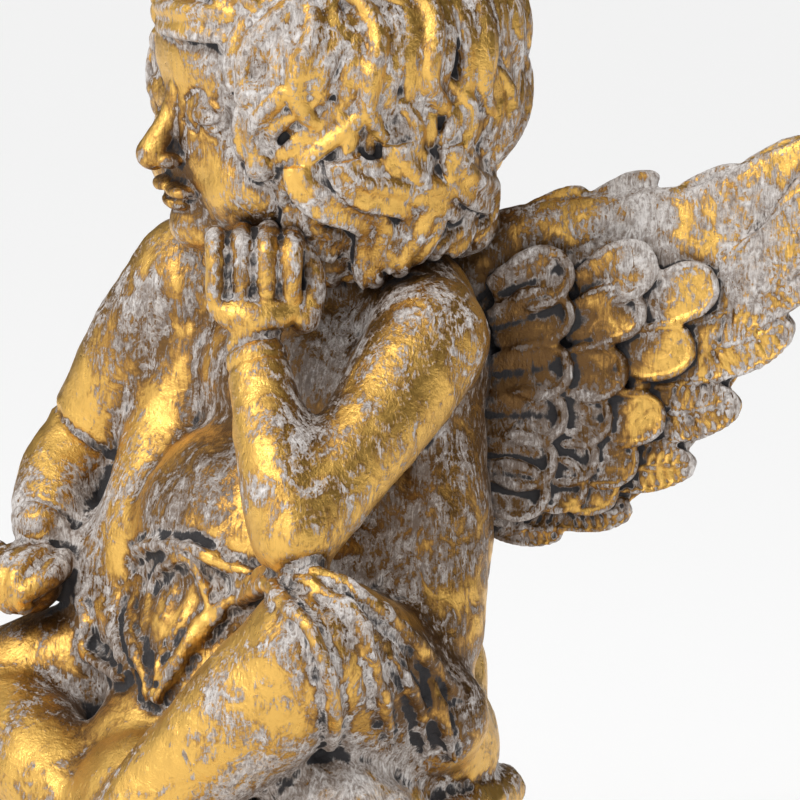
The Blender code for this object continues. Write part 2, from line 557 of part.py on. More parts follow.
def feather(clay, side, tip, rake, length, half_width, half_depth, out, bow=0.0, cup=0.0, rim=0.0):
    """A rounded feather: rake is its tilt, bow how far its middle hangs, rim the size of its raised border."""
    axis = vector((math.cos(rake), math.sin(rake)))
    t = 0.5 - 0.5 * np.cos(np.linspace(0.02, 0.985, 20) * math.pi)
    flat = vector(tip) - axis * length * (1 - t)[:, None]
    flat[:, 1] -= bow * length * np.sin(math.pi * t)
    lift = out + 0.5 * half_depth * np.sin(math.pi * t)
    path = wing_place(side, flat[:, 0], flat[:, 1], lift)
    ups = wing_place(side, flat[:, 0], flat[:, 1], lift + 1) - path
    wide = np.where(t < 0.62, 0.62 + 0.38 * np.sin(t / 0.62 * math.pi / 2),
                    np.sqrt(np.clip(1 - ((t - 0.62) / 0.38) ** 2, 0, 1)))
    thick = np.clip(np.minimum(1, (1 - t) / 0.12 + 0.25), 0.25, 1)
    wide = np.maximum(wide, 0.05) * half_width
    clay.sweep(path, ups, wide, thick * half_depth, 36, 4, -cup)
    if rim:
        across = unit_rows(np.cross(np.gradient(path, axis=0), ups))
        high = path + ups * (half_depth * 0.72)
        border = np.concatenate([(high + across * wide[:, None] * 0.86)[6:18], high[18:19],
                                 (high - across * wide[:, None] * 0.86)[6:18][::-1]])
        size = rim * np.minimum(1, np.sin(np.linspace(0.15, math.pi - 0.15, len(border))) * 2.2)
        clay.sweep(border, np.tile(ups[10], (len(border), 1)), size, size, 12)


def wing_plate(clay, side):
    """The slab that carries the feathers, between the root, the tips and the leading edge."""
    tips = [(w, h) for w, h, *_ in LONG_FEATHERS]
    heels = [(-2, 50.2), (-2, 57), (-2, 63), (-2, 69), (-2, 75), (0, 80), (6, 84), (12, 88)]
    grid = spline([(*heel, *tip) for heel, tip in zip(heels, tips)], 36)
    shares = np.linspace(0, 0.93, 16)
    flat = grid[:, None, :2] + (grid[:, None, 2:] - grid[:, None, :2]) * shares[:, None]
    rows, columns = flat.shape[:2]
    slope = np.clip(np.arange(rows)[::-1] / 10, 0, 1)[:, None]  # it thins out towards the leading edge
    inward = slope * (1 - shares / shares[-1])
    front = wing_place(side, flat[..., 0], flat[..., 1], 0.9 + 3.6 * inward ** 0.7).reshape(-1, 3)
    behind = wing_place(side, flat[..., 0], flat[..., 1], -0.6 - 3.0 * inward).reshape(-1, 3)
    number = np.arange(rows * columns).reshape(rows, columns)
    faces = []
    for i in range(rows - 1):
        for j in range(columns - 1):
            quad = [number[i, j], number[i, j + 1], number[i + 1, j + 1], number[i + 1, j]]
            faces.append(quad)
            faces.append([k + rows * columns for k in quad[::-1]])
    rim = [*number[0, :], *number[1:, -1], *number[-1, -2::-1], *number[-2:0:-1, 0]]
    for a, b in zip(rim, rim[1:] + rim[:1]):
        faces.append([b, a, a + rows * columns, b + rows * columns])
    clay.add(np.concatenate([front, behind]), [[int(k) for k in face] for face in faces])


def wing(clay, side):
    """One wing: leading edge, long feathers and three rows of coverts on both faces."""
    edge = spline(WING_EDGE, 48)
    path = wing_place(side, edge[:, 0], edge[:, 1], -0.4)
    ups = wing_place(side, edge[:, 0], edge[:, 1], 1.0) - path
    clay.sweep(path, ups, edge[:, 2], edge[:, 2] * 0.6 + 0.3)
    clay.ball(path[-1], edge[-1, 2])
    wing_plate(clay, side)
    for i, (span, height, half_width, length, tilt) in enumerate(LONG_FEATHERS):
        rake = math.radians(tilt)
        feather(clay, side, (span, height), rake, length, half_width, 1.5, 0.7 - 0.2 * (i % 2), 0.03, 0.08, 0.5)
        feather(clay, side, (span, height), rake, length, half_width * 0.94, 1.3, -0.7, 0.03)
    for row, middles in enumerate(COVERT_ROWS):
        count = (5, 6, 6)[row]
        for i, (span, height) in enumerate(spline(middles, count)):
            rake = math.radians(-14 + 36 * i / (count - 1))
            tip = (span + 4.6 * math.cos(rake), height + 4.6 * math.sin(rake))
            feather(clay, side, tip, rake, 11.5, 4.1, 1.5, 2.6 + 1.2 * row, 0, 0.12 + 0.12 * row, 0.65 + 0.15 * row)
            feather(clay, side, tip, rake, 12.5, 3.9, 1.2, -1.8 - 0.9 * row)
    for span, height in ((14.5, 82.5), (23.5, 69.3)):  # where the coverts leave a pit
        clay.ball(wing_place(side, span, height, 2.2), 2.0)
    for tip, reach in (((16.2, 95.9), 13), ((26, 98.2), 13), ((38, 99.2), 13), ((48, 103.3), 12)):
        feather(clay, side, tip, 0.42, reach, 2.3, 1.1, -1.6)


def base(clay):
    """A low rock, a little lumpy, cut flat below."""
    deep = BASE_THICKNESS / UNIT
    margin = BASE_MARGIN / UNIT
    ring = np.linspace(0, 2 * math.pi, 72, endpoint=False)
    middle = vector((-2.5, -14))
    half = vector((39, 37)) + margin
    rows = []
    for share, level in ((1.02, -1.8), (1.03, -1.0), (1.0, -0.55), (0.97, -0.3), (0.93, -0.08), (0.8, 0.02)):
        lumps = 1 + 0.025 * np.sin(5 * ring + 1 + level) + 0.02 * np.sin(9 * ring + 2.5 - 2 * level)
        lumps += 0.018 * np.abs(np.sin(8.5 * ring + 3 * level))
        corner = (np.abs(np.cos(ring)) ** 2.6 + np.abs(np.sin(ring)) ** 2.6) ** (-1 / 2.6)
        x = middle[0] + half[0] * share * lumps * corner * np.cos(ring)
        y = middle[1] + half[1] * share * lumps * corner * np.sin(ring)
        rows.append(np.stack([x, y, np.full(72, level * deep)], -1))
    stack(clay, rows)


def cut_flat(mesh, level):
    """Cuts the mesh off flat at a height and closes it there."""
    edit = bmesh.new()
    edit.from_mesh(mesh)
    everything = edit.verts[:] + edit.edges[:] + edit.faces[:]
    bmesh.ops.bisect_plane(edit, geom=everything, dist=1e-7, plane_co=(0, 0, level), plane_no=(0, 0, 1),
                           clear_inner=True)
    rim = [e for e in edit.edges if e.is_boundary]
    filled = bmesh.ops.edgeloop_fill(edit, edges=rim)
    bmesh.ops.triangulate(edit, faces=filled["faces"])
    bmesh.ops.recalc_face_normals(edit, faces=edit.faces[:])
    edit.to_mesh(mesh)
    edit.free()


def outer_skin(mesh):
    """Removes every closed pocket inside the skin, so that one surface is left."""
    edit = bmesh.new()
    edit.from_mesh(mesh)
    seen = set()
    shells = []
    for start in edit.verts:
        if start in seen:
            continue
        seen.add(start)
        shell, ends = [start], [start]
        while ends:
            for link in ends.pop().link_edges:
                for other in link.verts:
                    if other not in seen:
                        seen.add(other)
                        shell.append(other)
                        ends.append(other)
        shells.append(shell)
    shells.sort(key=len)
    for shell in shells[:-1]:
        bmesh.ops.delete(edit, geom=shell, context="VERTS")
    edit.to_mesh(mesh)
    edit.free()


def figure_skin(grain, body_grain):
    """The whole figure in one skin: the limbs are blended, then the hands, hair, cloth and wings are added."""
    body = Clay()
    for form in (torso, arms, legs, lap_cloth):
        form(body)
    clay = Clay()
    add_mesh(clay, fused(body, body_grain, round(16 / body_grain)))
    for form in (left_fist, right_hand, feet, folds, head, hair, base):
        form(clay)
    for side in (1, -1):
        wing(clay, side)
    skin = fused(clay, grain, 3)
    outer_skin(skin)
    return skin


def gold_material():
    material = bpy.data.materials.new("antique_gold")
    material.use_nodes = True
    shader = material.node_tree.nodes["Principled BSDF"]
    shader.inputs["Base Color"].default_value = GOLD
    shader.inputs["Metallic"].default_value = 0.8
    shader.inputs["Roughness"].default_value = 0.38
    return material


def main():
    for old in list(bpy.data.objects):
        bpy.data.objects.remove(old)
    skin = figure_skin(GRAIN, BODY_GRAIN)
    cut_flat(skin, -BASE_THICKNESS / UNIT)
    skin = thinned(skin, SKIN_TRIANGLES)
    skin.transform(Matrix.Diagonal((UNIT, UNIT, UNIT, 1)))
    skin.transform(Matrix.Translation((0, 0, BASE_THICKNESS)))
    skin.name = "angel_figurine"
    skin.shade_smooth()
    skin.set_sharp_from_angle(angle=math.radians(50))
    skin.materials.append(gold_material())
    figurine = bpy.data.objects.new("angel_figurine", skin)
    bpy.context.scene.collection.objects.link(figurine)


main()
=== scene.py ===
"""Detailed model of the seated cherub figurine: the solid's own forms with the fine carving, the antique
gilding, the light, the floor and the camera. Forms are built in figure units, with the top of the base at zero,
and place() turns them into metres.
"""

import math

import bmesh
import bpy
import numpy as np
from mathutils import Matrix, Vector
from mathutils.bvhtree import BVHTree
from mathutils.kdtree import KDTree


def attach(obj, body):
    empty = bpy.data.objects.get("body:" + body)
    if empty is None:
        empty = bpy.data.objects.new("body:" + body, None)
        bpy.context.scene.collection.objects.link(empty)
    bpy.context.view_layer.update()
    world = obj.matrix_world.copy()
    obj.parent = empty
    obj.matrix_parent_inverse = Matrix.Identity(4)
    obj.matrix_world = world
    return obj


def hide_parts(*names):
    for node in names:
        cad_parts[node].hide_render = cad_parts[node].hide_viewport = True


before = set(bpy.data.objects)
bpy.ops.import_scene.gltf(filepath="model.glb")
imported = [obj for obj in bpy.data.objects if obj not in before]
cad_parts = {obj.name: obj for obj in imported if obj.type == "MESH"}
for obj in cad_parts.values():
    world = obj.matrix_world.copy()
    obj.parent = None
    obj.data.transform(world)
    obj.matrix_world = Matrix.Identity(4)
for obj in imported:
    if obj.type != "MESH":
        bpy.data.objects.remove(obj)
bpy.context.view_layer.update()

# Driving sizes
FIGURE_HEIGHT = 0.141  # from the top of the base to the crown, where locks of hair stand 1 mm higher
BASE_THICKNESS = 0.011
BASE_MARGIN = 0.004  # how far the base reaches past the figure's own footprint

# The figure is modelled in units of 1/141 of its height, from the middle of its seat.
UNITS_IN_HEIGHT = 141.0
UNIT = FIGURE_HEIGHT / UNITS_IN_HEIGHT
BODY_GRAIN = 1.0  # size of the cells that first blend the body and limbs, in units
DETAIL = {"figure_body": [(0.65, 70000), (0.36, 198000)], "figure_head": [(0.5, 60000), (0.27, 198000)],
          "left_wing": [(0.45, 45000), (0.27, 160000)], "right_wing": [(0.45, 45000), (0.27, 160000)],
          "rock_base": [(0.9, 25000), (0.5, 80000)]}

# Joints of the pose, in units
PELVIS = (0, 0, 16)
BELLY = (-2, -3, 43)
CHEST = (-1, 0.5, 68)
NECK = (0, -2, 86)
HEAD = (0.5, -6.5, 111)
HEAD_YAW, HEAD_PITCH, HEAD_ROLL = math.radians(-10), math.radians(8), math.radians(11)
HEAD_SIZE = 22.5
LEFT_SHOULDER, LEFT_ELBOW, LEFT_WRIST = (21, -2, 77.5), (24, -27, 53), (11.5, -24.3, 77.5)
RIGHT_SHOULDER, RIGHT_ELBOW, RIGHT_WRIST = (-25, -7, 83), (-40, -14, 59), (-34, -27, 48.5)
LEFT_HIP, LEFT_KNEE, LEFT_ANKLE = (12, 3, 20), (28, -27, 37), (2, -46, 7)
RIGHT_HIP, RIGHT_KNEE, RIGHT_ANKLE = (-12, 3, 19), (-40, -30, 24.5), (4, -38, 4.5)

# The wing's own frame: span outwards from the shoulder blade, height above the seat
WING_ROOT = (8, 16)
WING_TURN_ROOT, WING_TURN_TIP = math.radians(52), math.radians(30)
WING_SPAN = 66.0
# Each long feather: span and height of its tip, half width, length, and its tilt in degrees
LONG_FEATHERS = [(12.7, 48.8, 2.8, 14, -12), (22.4, 51.7, 3.2, 20, -6), (31.3, 58.5, 3.7, 22, 0),
                 (37.6, 67, 4.5, 23, 5), (44.9, 78, 5.1, 26, 13), (52, 90, 5.1, 33, 28), (58, 102, 4.7, 37, 40),
                 (63, 112, 4.0, 38, 46)]
# Rows of coverts by the middles of their first, middle and last feather, from the lowest up
COVERT_ROWS = [[(16, 55.5), (22.5, 65), (30, 82.5)], [(11.5, 56), (16, 68), (21.5, 85.5)],
               [(6, 55), (9, 68.5), (9.5, 84.5)]]
WING_EDGE = [(-3, 76, 7.5), (4, 87, 6.0), (15.9, 90.7, 4.7), (23.5, 92.8, 3.8), (32, 94.2, 3.1), (40.5, 96.1, 3.1),
             (46.2, 100.2, 2.6), (55, 106.5, 2.1), (63, 113.5, 1.4)]


def vector(values):
    """The values as an array of floats."""
    return np.array(values, float)


def spline(points, count):
    """Points of any dimension along a smooth curve through the given ones."""
    knots = np.array([points[0], *points, points[-1]], float)
    spans = len(points) - 1
    at = np.linspace(0, spans, count)
    low = np.minimum(at.astype(int), spans - 1)
    t = (at - low)[:, None]
    a, b, c, d = (knots[low + i] for i in range(4))
    return 0.5 * (2 * b + (c - a) * t + (2 * a - 5 * b + 4 * c - d) * t**2 + (3 * b - a - 3 * c + d) * t**3)


def unit_rows(rows):
    """Each row scaled to a length of one."""
    return rows / np.maximum(np.linalg.norm(rows, axis=1, keepdims=True), 1e-9)


def turned(direction, degrees_about):
    """A matrix that turns a form: three angles in degrees about X, Y and Z, then its long axis Z to direction."""
    spin = Matrix.Identity(3)
    for axis, angle in zip("XYZ", degrees_about):
        spin = Matrix.Rotation(math.radians(angle), 3, axis) @ spin
    aim = Vector(direction).to_track_quat("Z", "Y").to_matrix()
    return np.array(aim @ spin)


class Clay:
    """Closed forms that overlap, gathered before they are fused into one skin."""

    def __init__(self):
        self.points, self.faces, self.count = [], [], 0
        ball = bmesh.new()
        bmesh.ops.create_icosphere(ball, subdivisions=5, radius=1)
        ball.verts.index_update()
        self.ball_points = np.array([v.co for v in ball.verts])
        self.ball_faces = [[v.index for v in f.verts] for f in ball.faces]
        ball.free()

    def add(self, points, faces):
        """A closed form by its points and faces."""
        self.points.append(np.asarray(points, float))
        self.faces += [[i + self.count for i in face] for face in faces]
        self.count += len(points)

    def ball(self, centre, radii, turn=None):
        """An ellipsoid."""
        radii = np.ones(3) * radii
        points = self.ball_points * radii
        if turn is not None:
            points = points @ np.asarray(turn).T
        self.add(points + vector(centre), self.ball_faces)

    def sweep(self, path, ups, half_widths, half_depths, sides=20, ridges=0, relief=0.0):
        """A skin round a path: an ellipse at each point, its depth along ups, with ridges on its outer side."""
        path, ups = np.asarray(path, float), np.asarray(ups, float)
        along = unit_rows(np.gradient(path, axis=0))
        across = unit_rows(np.cross(along, ups))
        ups = np.cross(across, along)
        angle = np.linspace(0, 2 * math.pi, sides, endpoint=False)
        swell = 1 + relief * np.cos(ridges * (angle - math.pi / 2)) * (np.sin(angle) > -0.2)
        wide = np.asarray(half_widths)[:, None] * np.cos(angle) * swell
        deep = np.asarray(half_depths)[:, None] * np.sin(angle) * swell
        rings = path[:, None] + wide[..., None] * across[:, None] + deep[..., None] * ups[:, None]
        count = len(path)
        faces = []
        for i in range(count - 1):
            for j in range(sides):
                k = (j + 1) % sides
                faces.append([i * sides + j, i * sides + k, (i + 1) * sides + k, (i + 1) * sides + j])
        faces.append(list(range(sides))[::-1])
        faces.append([(count - 1) * sides + j for j in range(sides)])
        self.add(rings.reshape(-1, 3), faces)

    def limb(self, points, sides=28):
        """A round limb through (x, y, z, radius) points, with a ball at each end."""
        course = spline(points, 8 * len(points))
        path, radii = course[:, :3], course[:, 3]
        along = path[-1] - path[0]
        side = np.cross(along, (0.31, 0.17, 0.93))
        self.sweep(path, np.tile(side, (len(path), 1)), radii, radii, sides)
        for end in (0, -1):
            self.ball(path[end], radii[end])

    def mesh(self, name):
        """All the forms as one mesh, not yet fused."""
        made = bpy.data.meshes.new(name)
        made.from_pydata(np.concatenate(self.points).tolist(), [], self.faces)
        return made


def evaluated_copy(mesh, add_modifiers):
    """The mesh with modifiers applied."""
    obj = bpy.data.objects.new("worked", mesh)
    bpy.context.scene.collection.objects.link(obj)
    add_modifiers(obj)
    graph = bpy.context.evaluated_depsgraph_get()
    result = bpy.data.meshes.new_from_object(obj.evaluated_get(graph), depsgraph=graph)
    bpy.data.objects.remove(obj)
    return result


def fused(clay, grain, soften):
    """The forms fused into one skin and softened."""

    def modifiers(obj):
        remesh = obj.modifiers.new("fuse", "REMESH")
        remesh.mode = "VOXEL"
        remesh.voxel_size = grain
        smooth = obj.modifiers.new("soften", "SMOOTH")
        smooth.iterations = soften
        smooth.factor = 0.5

    return evaluated_copy(clay.mesh("forms"), modifiers)


def thinned(mesh, triangles):
    """The mesh thinned to about that many triangles."""

    def modifiers(obj):
        decimate = obj.modifiers.new("thin", "DECIMATE")
        decimate.ratio = triangles / sum(len(face.vertices) - 2 for face in mesh.polygons)

    return evaluated_copy(mesh, modifiers)


def add_mesh(clay, mesh):
    """Adds a finished mesh to the clay as one more form."""
    points = np.empty(len(mesh.vertices) * 3)
    mesh.vertices.foreach_get("co", points)
    clay.add(points.reshape(-1, 3), [list(face.vertices) for face in mesh.polygons])


def torso(clay):
    """The pelvis, belly, chest, back, neck and shoulders."""
    clay.ball(PELVIS, (22, 17, 16))
    clay.ball(BELLY, (23, 23, 19))
    clay.ball(CHEST, (21.5, 17, 18))
    clay.ball((-9, -7.5, 70), (11.5, 7.5, 10))
    clay.ball((9, -6.5, 68), (11.5, 7.5, 10))
    clay.limb([(*NECK[:2], 76, 12), (*NECK, 10.5), (0.5, -4, 96, 10)])
    clay.limb([(-23, -5, 81, 8), (-10, 1, 82, 9), (0, 3, 83, 9.5), (10, 3, 81.5, 9), (20, -1, 77, 8.5)])
    clay.ball((-5, -9.5, 49), (20, 18, 17))
    clay.limb([(-22, -8, 74, 6), (-24, -11, 62, 7.5), (-21, -16, 46, 10)])
    clay.limb([(16, 3, 70, 7), (17.5, 1, 55, 8.5), (17, -1, 38, 10)])
    for side in (-1, 1):
        clay.ball((side * 8.5, 6.5, 14), (11, 8.5, 12))
        clay.ball((side * 8.5, 8.5, 50), (10, 8, 20))
        clay.ball((side * 9.5, 10, 74), (7, 6.5, 12), turned((-side * 0.25, 0, 1), (0, 0, 0)))


def between(a, b, share, radius, push=(0, 0, 0)):
    """A limb point a share of the way from a to b, moved by push."""
    return (*(vector(a) + (vector(b) - vector(a)) * share + vector(push)), radius)


def arms(clay):
    """Both arms from shoulder to wrist."""
    clay.limb([(*LEFT_SHOULDER, 8.8), between(LEFT_SHOULDER, LEFT_ELBOW, 0.45, 7.3, (1, 0.5, 0)),
               (*LEFT_ELBOW, 6.4)])
    clay.limb([(*LEFT_ELBOW, 6.4), between(LEFT_ELBOW, LEFT_WRIST, 0.35, 6.2, (0.8, -0.8, 0)),
               between(LEFT_ELBOW, LEFT_WRIST, 0.75, 4.9, (0.3, -0.4, 0)), (*LEFT_WRIST, 4.3)])
    clay.limb([(*RIGHT_SHOULDER, 9.2), between(RIGHT_SHOULDER, RIGHT_ELBOW, 0.5, 8.1, (-0.6, -1.2, 0)),
               (*RIGHT_ELBOW, 7.1)])
    clay.limb([(*RIGHT_ELBOW, 7.1), between(RIGHT_ELBOW, RIGHT_WRIST, 0.45, 6.7, (-1.0, -0.8, 0)),
               (*RIGHT_WRIST, 4.7)])


def legs(clay):
    """Both legs from hip to ankle, the shins crossed."""
    clay.limb([(*LEFT_HIP, 11.5), between(LEFT_HIP, LEFT_KNEE, 0.5, 11.3, (0, 0, 2)), (*LEFT_KNEE, 10.3)])
    clay.limb([between(LEFT_KNEE, LEFT_ANKLE, 0.03, 9.9),
               between(LEFT_KNEE, LEFT_ANKLE, 0.35, 9.3, (0.5, 0.5, 0.5)),
               between(LEFT_KNEE, LEFT_ANKLE, 0.75, 6.8), (*LEFT_ANKLE, 5.2)])
    clay.limb([(*RIGHT_HIP, 11.5), between(RIGHT_HIP, RIGHT_KNEE, 0.5, 10.8, (-1, 0, 3)), (*RIGHT_KNEE, 9.4)])
    clay.limb([between(RIGHT_KNEE, RIGHT_ANKLE, 0.03, 9.2, (0, 0, -1.5)),
               between(RIGHT_KNEE, RIGHT_ANKLE, 0.4, 8.8, (0, -2, 0)),
               between(RIGHT_KNEE, RIGHT_ANKLE, 0.75, 6.8), (*RIGHT_ANKLE, 5.2)])


def left_fist(clay):
    """The fist under the cheek: heel of the hand, four folded fingers and the thumb."""
    wrist = vector(LEFT_WRIST)
    aim = unit_rows(vector([(-0.1, 0.1, 0.99)]))[0]
    facing = unit_rows(vector([(0.78, -0.62, 0.1)]))[0]
    side = np.cross(aim, facing)

    def at(right, up, out):
        return wrist - side * right + aim * up + facing * out

    clay.ball(at(0, 8.5, -1.8), (6.2, 4.8, 7.6), turned(aim, (0, 0, 0)))
    shares = np.linspace(-1, 1, 11)
    heel = [at(6.2 * r, 3.4 + 2.4 * r * r, 2.1 - 1.2 * r * r) for r in shares]
    girth = np.sqrt(1.05 - shares**2 * 0.85)
    clay.sweep(heel, np.tile(facing, (11, 1)), 2.9 * girth, 2.4 * girth, 16)
    for i in range(4):
        r = -5.0 + 3.45 * i
        top = 14.6 - 0.25 * (i - 1.4) ** 2
        clay.limb([(*at(r, 6.4, 2.2), 1.5), (*at(r, 10, 3.3), 1.62), (*at(r * 1.03, top - 1, 2.9), 1.6),
                   (*at(r, top + 0.6, 0), 1.6)], 14)
    clay.limb([(*at(-6.6, 3.5, 0), 2.2), (*at(-8, 8, 0), 1.9), (*at(-6.8, 12.5, 0.2), 1.6)], 14)


def right_hand(clay):
    """The loose fist that rests on the right knee."""
    clay.ball((-33.2, -30.5, 41.5), (5.8, 5.6, 5.2), turned((0.1, -0.4, 0.9), (0, 0, 0)))
    for i in range(4):
        x = -37.2 + 2.5 * i
        y = 0.9 * (i - 1)
        clay.limb([(x, -31.5 + y, 45, 1.8), (x, -35 + y, 44, 1.75), (x + 0.2, -36.8 + y, 41, 1.7),
                   (x + 0.3, -35.2 + y, 38.3, 1.6)], 14)
    clay.limb([(-28.6, -27.5, 44, 2.2), (-27.2, -31, 42.4, 2.0), (-28.4, -34.4, 40.2, 1.7)], 14)


def foot(clay, heel, toe, up):
    """A plump foot from heel to toe, with its instep towards up."""
    heel, toe = vector(heel), vector(toe)
    along = unit_rows((toe - heel)[None])[0]
    across = unit_rows(np.cross(up, along)[None])[0]
    up = np.cross(along, across)
    length = np.linalg.norm(toe - heel)
    clay.limb([(*heel, 4.6), (*(heel + along * length * 0.5 + up * 0.6), 4.3),
               (*(heel + along * length * 0.85), 3.6)])
    clay.ball(heel + along * length * 0.78, (5.4, 3.2, 5.0), np.stack([across, up, along], 1))
    sign = 1 if across[0] > 0 else -1
    toes = ((-3.7, 2.1, 0.6), (-1.5, 1.5, 1.1), (0.4, 1.4, 0.8), (2.1, 1.3, 0.2), (3.6, 1.15, -0.8))
    for shift, radius, reach in toes:  # from the great toe outwards
        start = heel + across * shift * sign * 0.9 + along * (length - 2) - up * 0.6
        clay.limb([(*start, radius), (*(start + along * (2 + reach)), radius * 0.95)], 12)


def feet(clay):
    """Both feet, the left one in front."""
    foot(clay, (6.5, -46.5, 5.5), (-10, -50.5, 3.6), (0.1, -0.35, 0.9))
    foot(clay, (-1, -36, 4.5), (16.5, -44.5, 3.4), (0.2, -0.3, 0.9))


def lap_cloth(clay):
    """The mass of the cloth: over the left thigh, between the thighs and round the hips."""
    clay.limb([(*LEFT_HIP, 12.2), between(LEFT_HIP, LEFT_KNEE, 0.45, 12.2, (0, 0.3, 2)),
               between(LEFT_HIP, LEFT_KNEE, 0.86, 11.2, (0, 0.8, 1.0))])
    clay.ball((-7, -18, 27), (18, 13, 13.5))
    clay.ball((-2, -33, 13), (12, 10, 11))
    clay.ball((-9, -19, 38.5), (12, 8, 10))
    clay.ball((-19, -23, 36), (6.5, 4.5, 6))
    clay.ball((-5, -21.5, 43), (10, 5.5, 7))
    clay.ball((-5, -24, 34.5), (9.5, 6.4, 8.5))
    clay.ball((-9, -27, 21), (10, 8, 8))
    clay.ball((24.5, -4, 26), (8, 8.5, 8))
    clay.ball((-26.5, -17.5, 40.5), (9.5, 9.5, 12))
    for side in (-1, 1):
        clay.ball((side * 7.5, 8.5, 29), (9.5, 8.5, 11.5))
    clay.limb([(-14, -12, 34, 9), (-27, -19, 31.5, 8), (-36, -27, 28.5, 7.5)])
    clay.ball((0, -1, 4), (25, 19, 12))
    clay.ball((16, -14, 3), (15, 15, 12))
    clay.limb([(15, -4, 10, 10), (23, -20, 13, 10)])


# Ridges of the cloth, each by its points and its radius: between the thighs, then over the left thigh and hip
LAP_RIDGES = [([(-4.5, -27.5, 35.5), (-11.5, -24.5, 40), (-6.5, -27, 45), (-1.5, -27.5, 47), (1.5, -26.5, 46),
                (3, -25.5, 40)], 1.2),
              ([(-21.5, -26, 39.5), (-20, -26, 37), (-15.5, -28, 34), (-10, -30.5, 31.5)], 1.0),
              ([(-18.5, -23.5, 40.5), (-12, -27.5, 37), (-6.5, -30.5, 33), (-4, -31, 28)], 1.7),
              ([(-4.5, -28, 37), (-2.5, -30.5, 32.5), (-3, -31.5, 28)], 1.2),
              ([(7, -24, 42.5), (2.5, -26, 38.5), (0.5, -28.5, 34), (-2, -31, 28)], 1.9),
              ([(-20, -22, 44), (-11.5, -26.5, 47.5), (-0.5, -27.5, 49), (6, -25, 46.5), (11, -22.5, 46)], 1.3),
              ([(-27, -25.5, 41), (-25, -27, 38.5), (-23.5, -26.8, 35.5), (-24, -27, 32), (-17, -28.5, 30.5),
                (-10, -31, 30)], 1.3),
              ([(-22.5, -24.6, 41), (-18.5, -26, 37), (-13, -28.4, 33.5), (-8, -30.2, 31)], 1.6)]
THIGH_RIDGES = [([(2, -25, 40), (8.5, -24, 42.5), (22, -30, 46), (30.5, -33.5, 44.5), (35, -33, 42),
                  (37, -32.5, 38.5), (37, -31, 34), (33.5, -27.5, 28), (27, -23.5, 24)], 1.5),
                ([(25, -30, 47.5), (30, -29, 47), (36, -26.5, 43.5), (38, -25.5, 39.5), (37, -23, 34.5),
                  (35, -20, 29.5), (31, -16, 25)], 1.4),
                ([(6.5, -24, 44), (16, -25.5, 46.5), (25, -29, 48), (30.5, -26.5, 47.5), (34.5, -22, 44),
                  (34.5, -15, 38.5), (32.5, -9.5, 34), (29.5, -3, 29), (26, 3, 25.5)], 1.7),
                ([(36.5, -20, 37), (35.5, -17, 33.5), (33, -13, 29), (30, -9, 23)], 1.4),
                ([(33, -11, 33.5), (33, -9, 28), (31, -5, 21)], 1.6)]


def ridge(clay, points, radius):
    """A ridge of cloth along points, thinner towards both ends."""
    last = len(points) - 1
    clay.limb([(*point, radius * (0.55 if i in (0, last) else 1)) for i, point in enumerate(points)], 14)


def stack(clay, rings):
    """A closed form through rings of equally many points, from the lowest up."""
    count = len(rings[0])
    last = len(rings) - 1
    faces = []
    for low in range(0, last * count, count):
        for j in range(count):
            beside = (j + 1) % count
            faces.append([low + j, low + beside, low + count + beside, low + count + j])
    faces += [list(range(count))[::-1], [last * count + j for j in range(count)]]
    clay.add(np.concatenate(rings), faces)


def skirt(clay, middle, spread, waves, height):
    """Cloth that falls to the ground round a middle, wider and more deeply folded towards its foot."""
    angle = np.linspace(0, 2 * math.pi, 132, endpoint=False)
    levels = (-0.15, 0.05, 0.3, 0.55, 0.8, 0.93, 1)
    reaches = (1.05, 1.02, 0.96, 0.92, 0.86, 0.77, 0.6)
    rings = []
    for level, reach in zip(levels, reaches):
        wander = angle + 0.17 * np.sin(3 * angle + 2 * level) + 0.06 * np.sin(7 * angle)
        wave = 0.13 * np.abs(np.sin(waves / 2 * wander)) ** 0.8
        wave += 0.03 * np.sin((waves + 4) * wander + 3 * level)
        swell = reach * (1 + (wave - 0.06) * (1.2 - level))
        x = middle[0] + spread[0] * swell * np.cos(angle)
        y = middle[1] + spread[1] * swell * np.sin(angle)
        rings.append(np.stack([x, y, np.full(132, level * height)], -1))
    stack(clay, rings)


def folds(clay):
    """The folds of the cloth: between the thighs, over the left thigh, round the hips and round the seat."""
    for points, radius in LAP_RIDGES + THIGH_RIDGES:
        ridge(clay, points, radius)
    for level, drop, reach in ((26, 3, 0.93), (20, 5, 1.0)):
        band = [(-22, -6, level), (-19, 6, level - drop * 0.6), (-9, 13.5, level - drop),
                (0, 14.4, level - drop * 1.1), (9, 13.5, level - drop), (17, 6, level - drop * 0.6),
                (20, -3, level)]
        clay.limb([(x * reach, y * reach, z, 1.7) for x, y, z in band], 12)
    skirt(clay, (1, 0.5), (25.2, 20.7), 13, 17)
    skirt(clay, (21, -17), (13, 11.5), 7, 19)
    roll = [(-19, 9.5, 13), (-11, 14.5, 12.5), (0, 17, 12), (9, 17, 12.5), (15.5, 14.5, 13), (20, 7, 13),
            (24.5, -1, 11)]
    clay.limb([(*p, 4.3) for p in roll], 18)


def head_place():
    """The head's turning matrix and centre."""
    turn = (Matrix.Rotation(HEAD_YAW, 3, "Z") @ Matrix.Rotation(HEAD_ROLL, 3, "Y")
            @ Matrix.Rotation(HEAD_PITCH, 3, "X"))
    return np.array(turn), vector(HEAD)


def on_head(points):
    """Points of the head's own frame, in shares of its size, in units."""
    turn, centre = head_place()
    return np.atleast_2d(vector(points)) * HEAD_SIZE @ turn.T + centre


def head_part(clay, centre, radii):
    """A ball of the head, in its own frame and in shares of its size."""
    clay.ball(on_head(centre)[0], np.ones(3) * radii * HEAD_SIZE, head_place()[0])


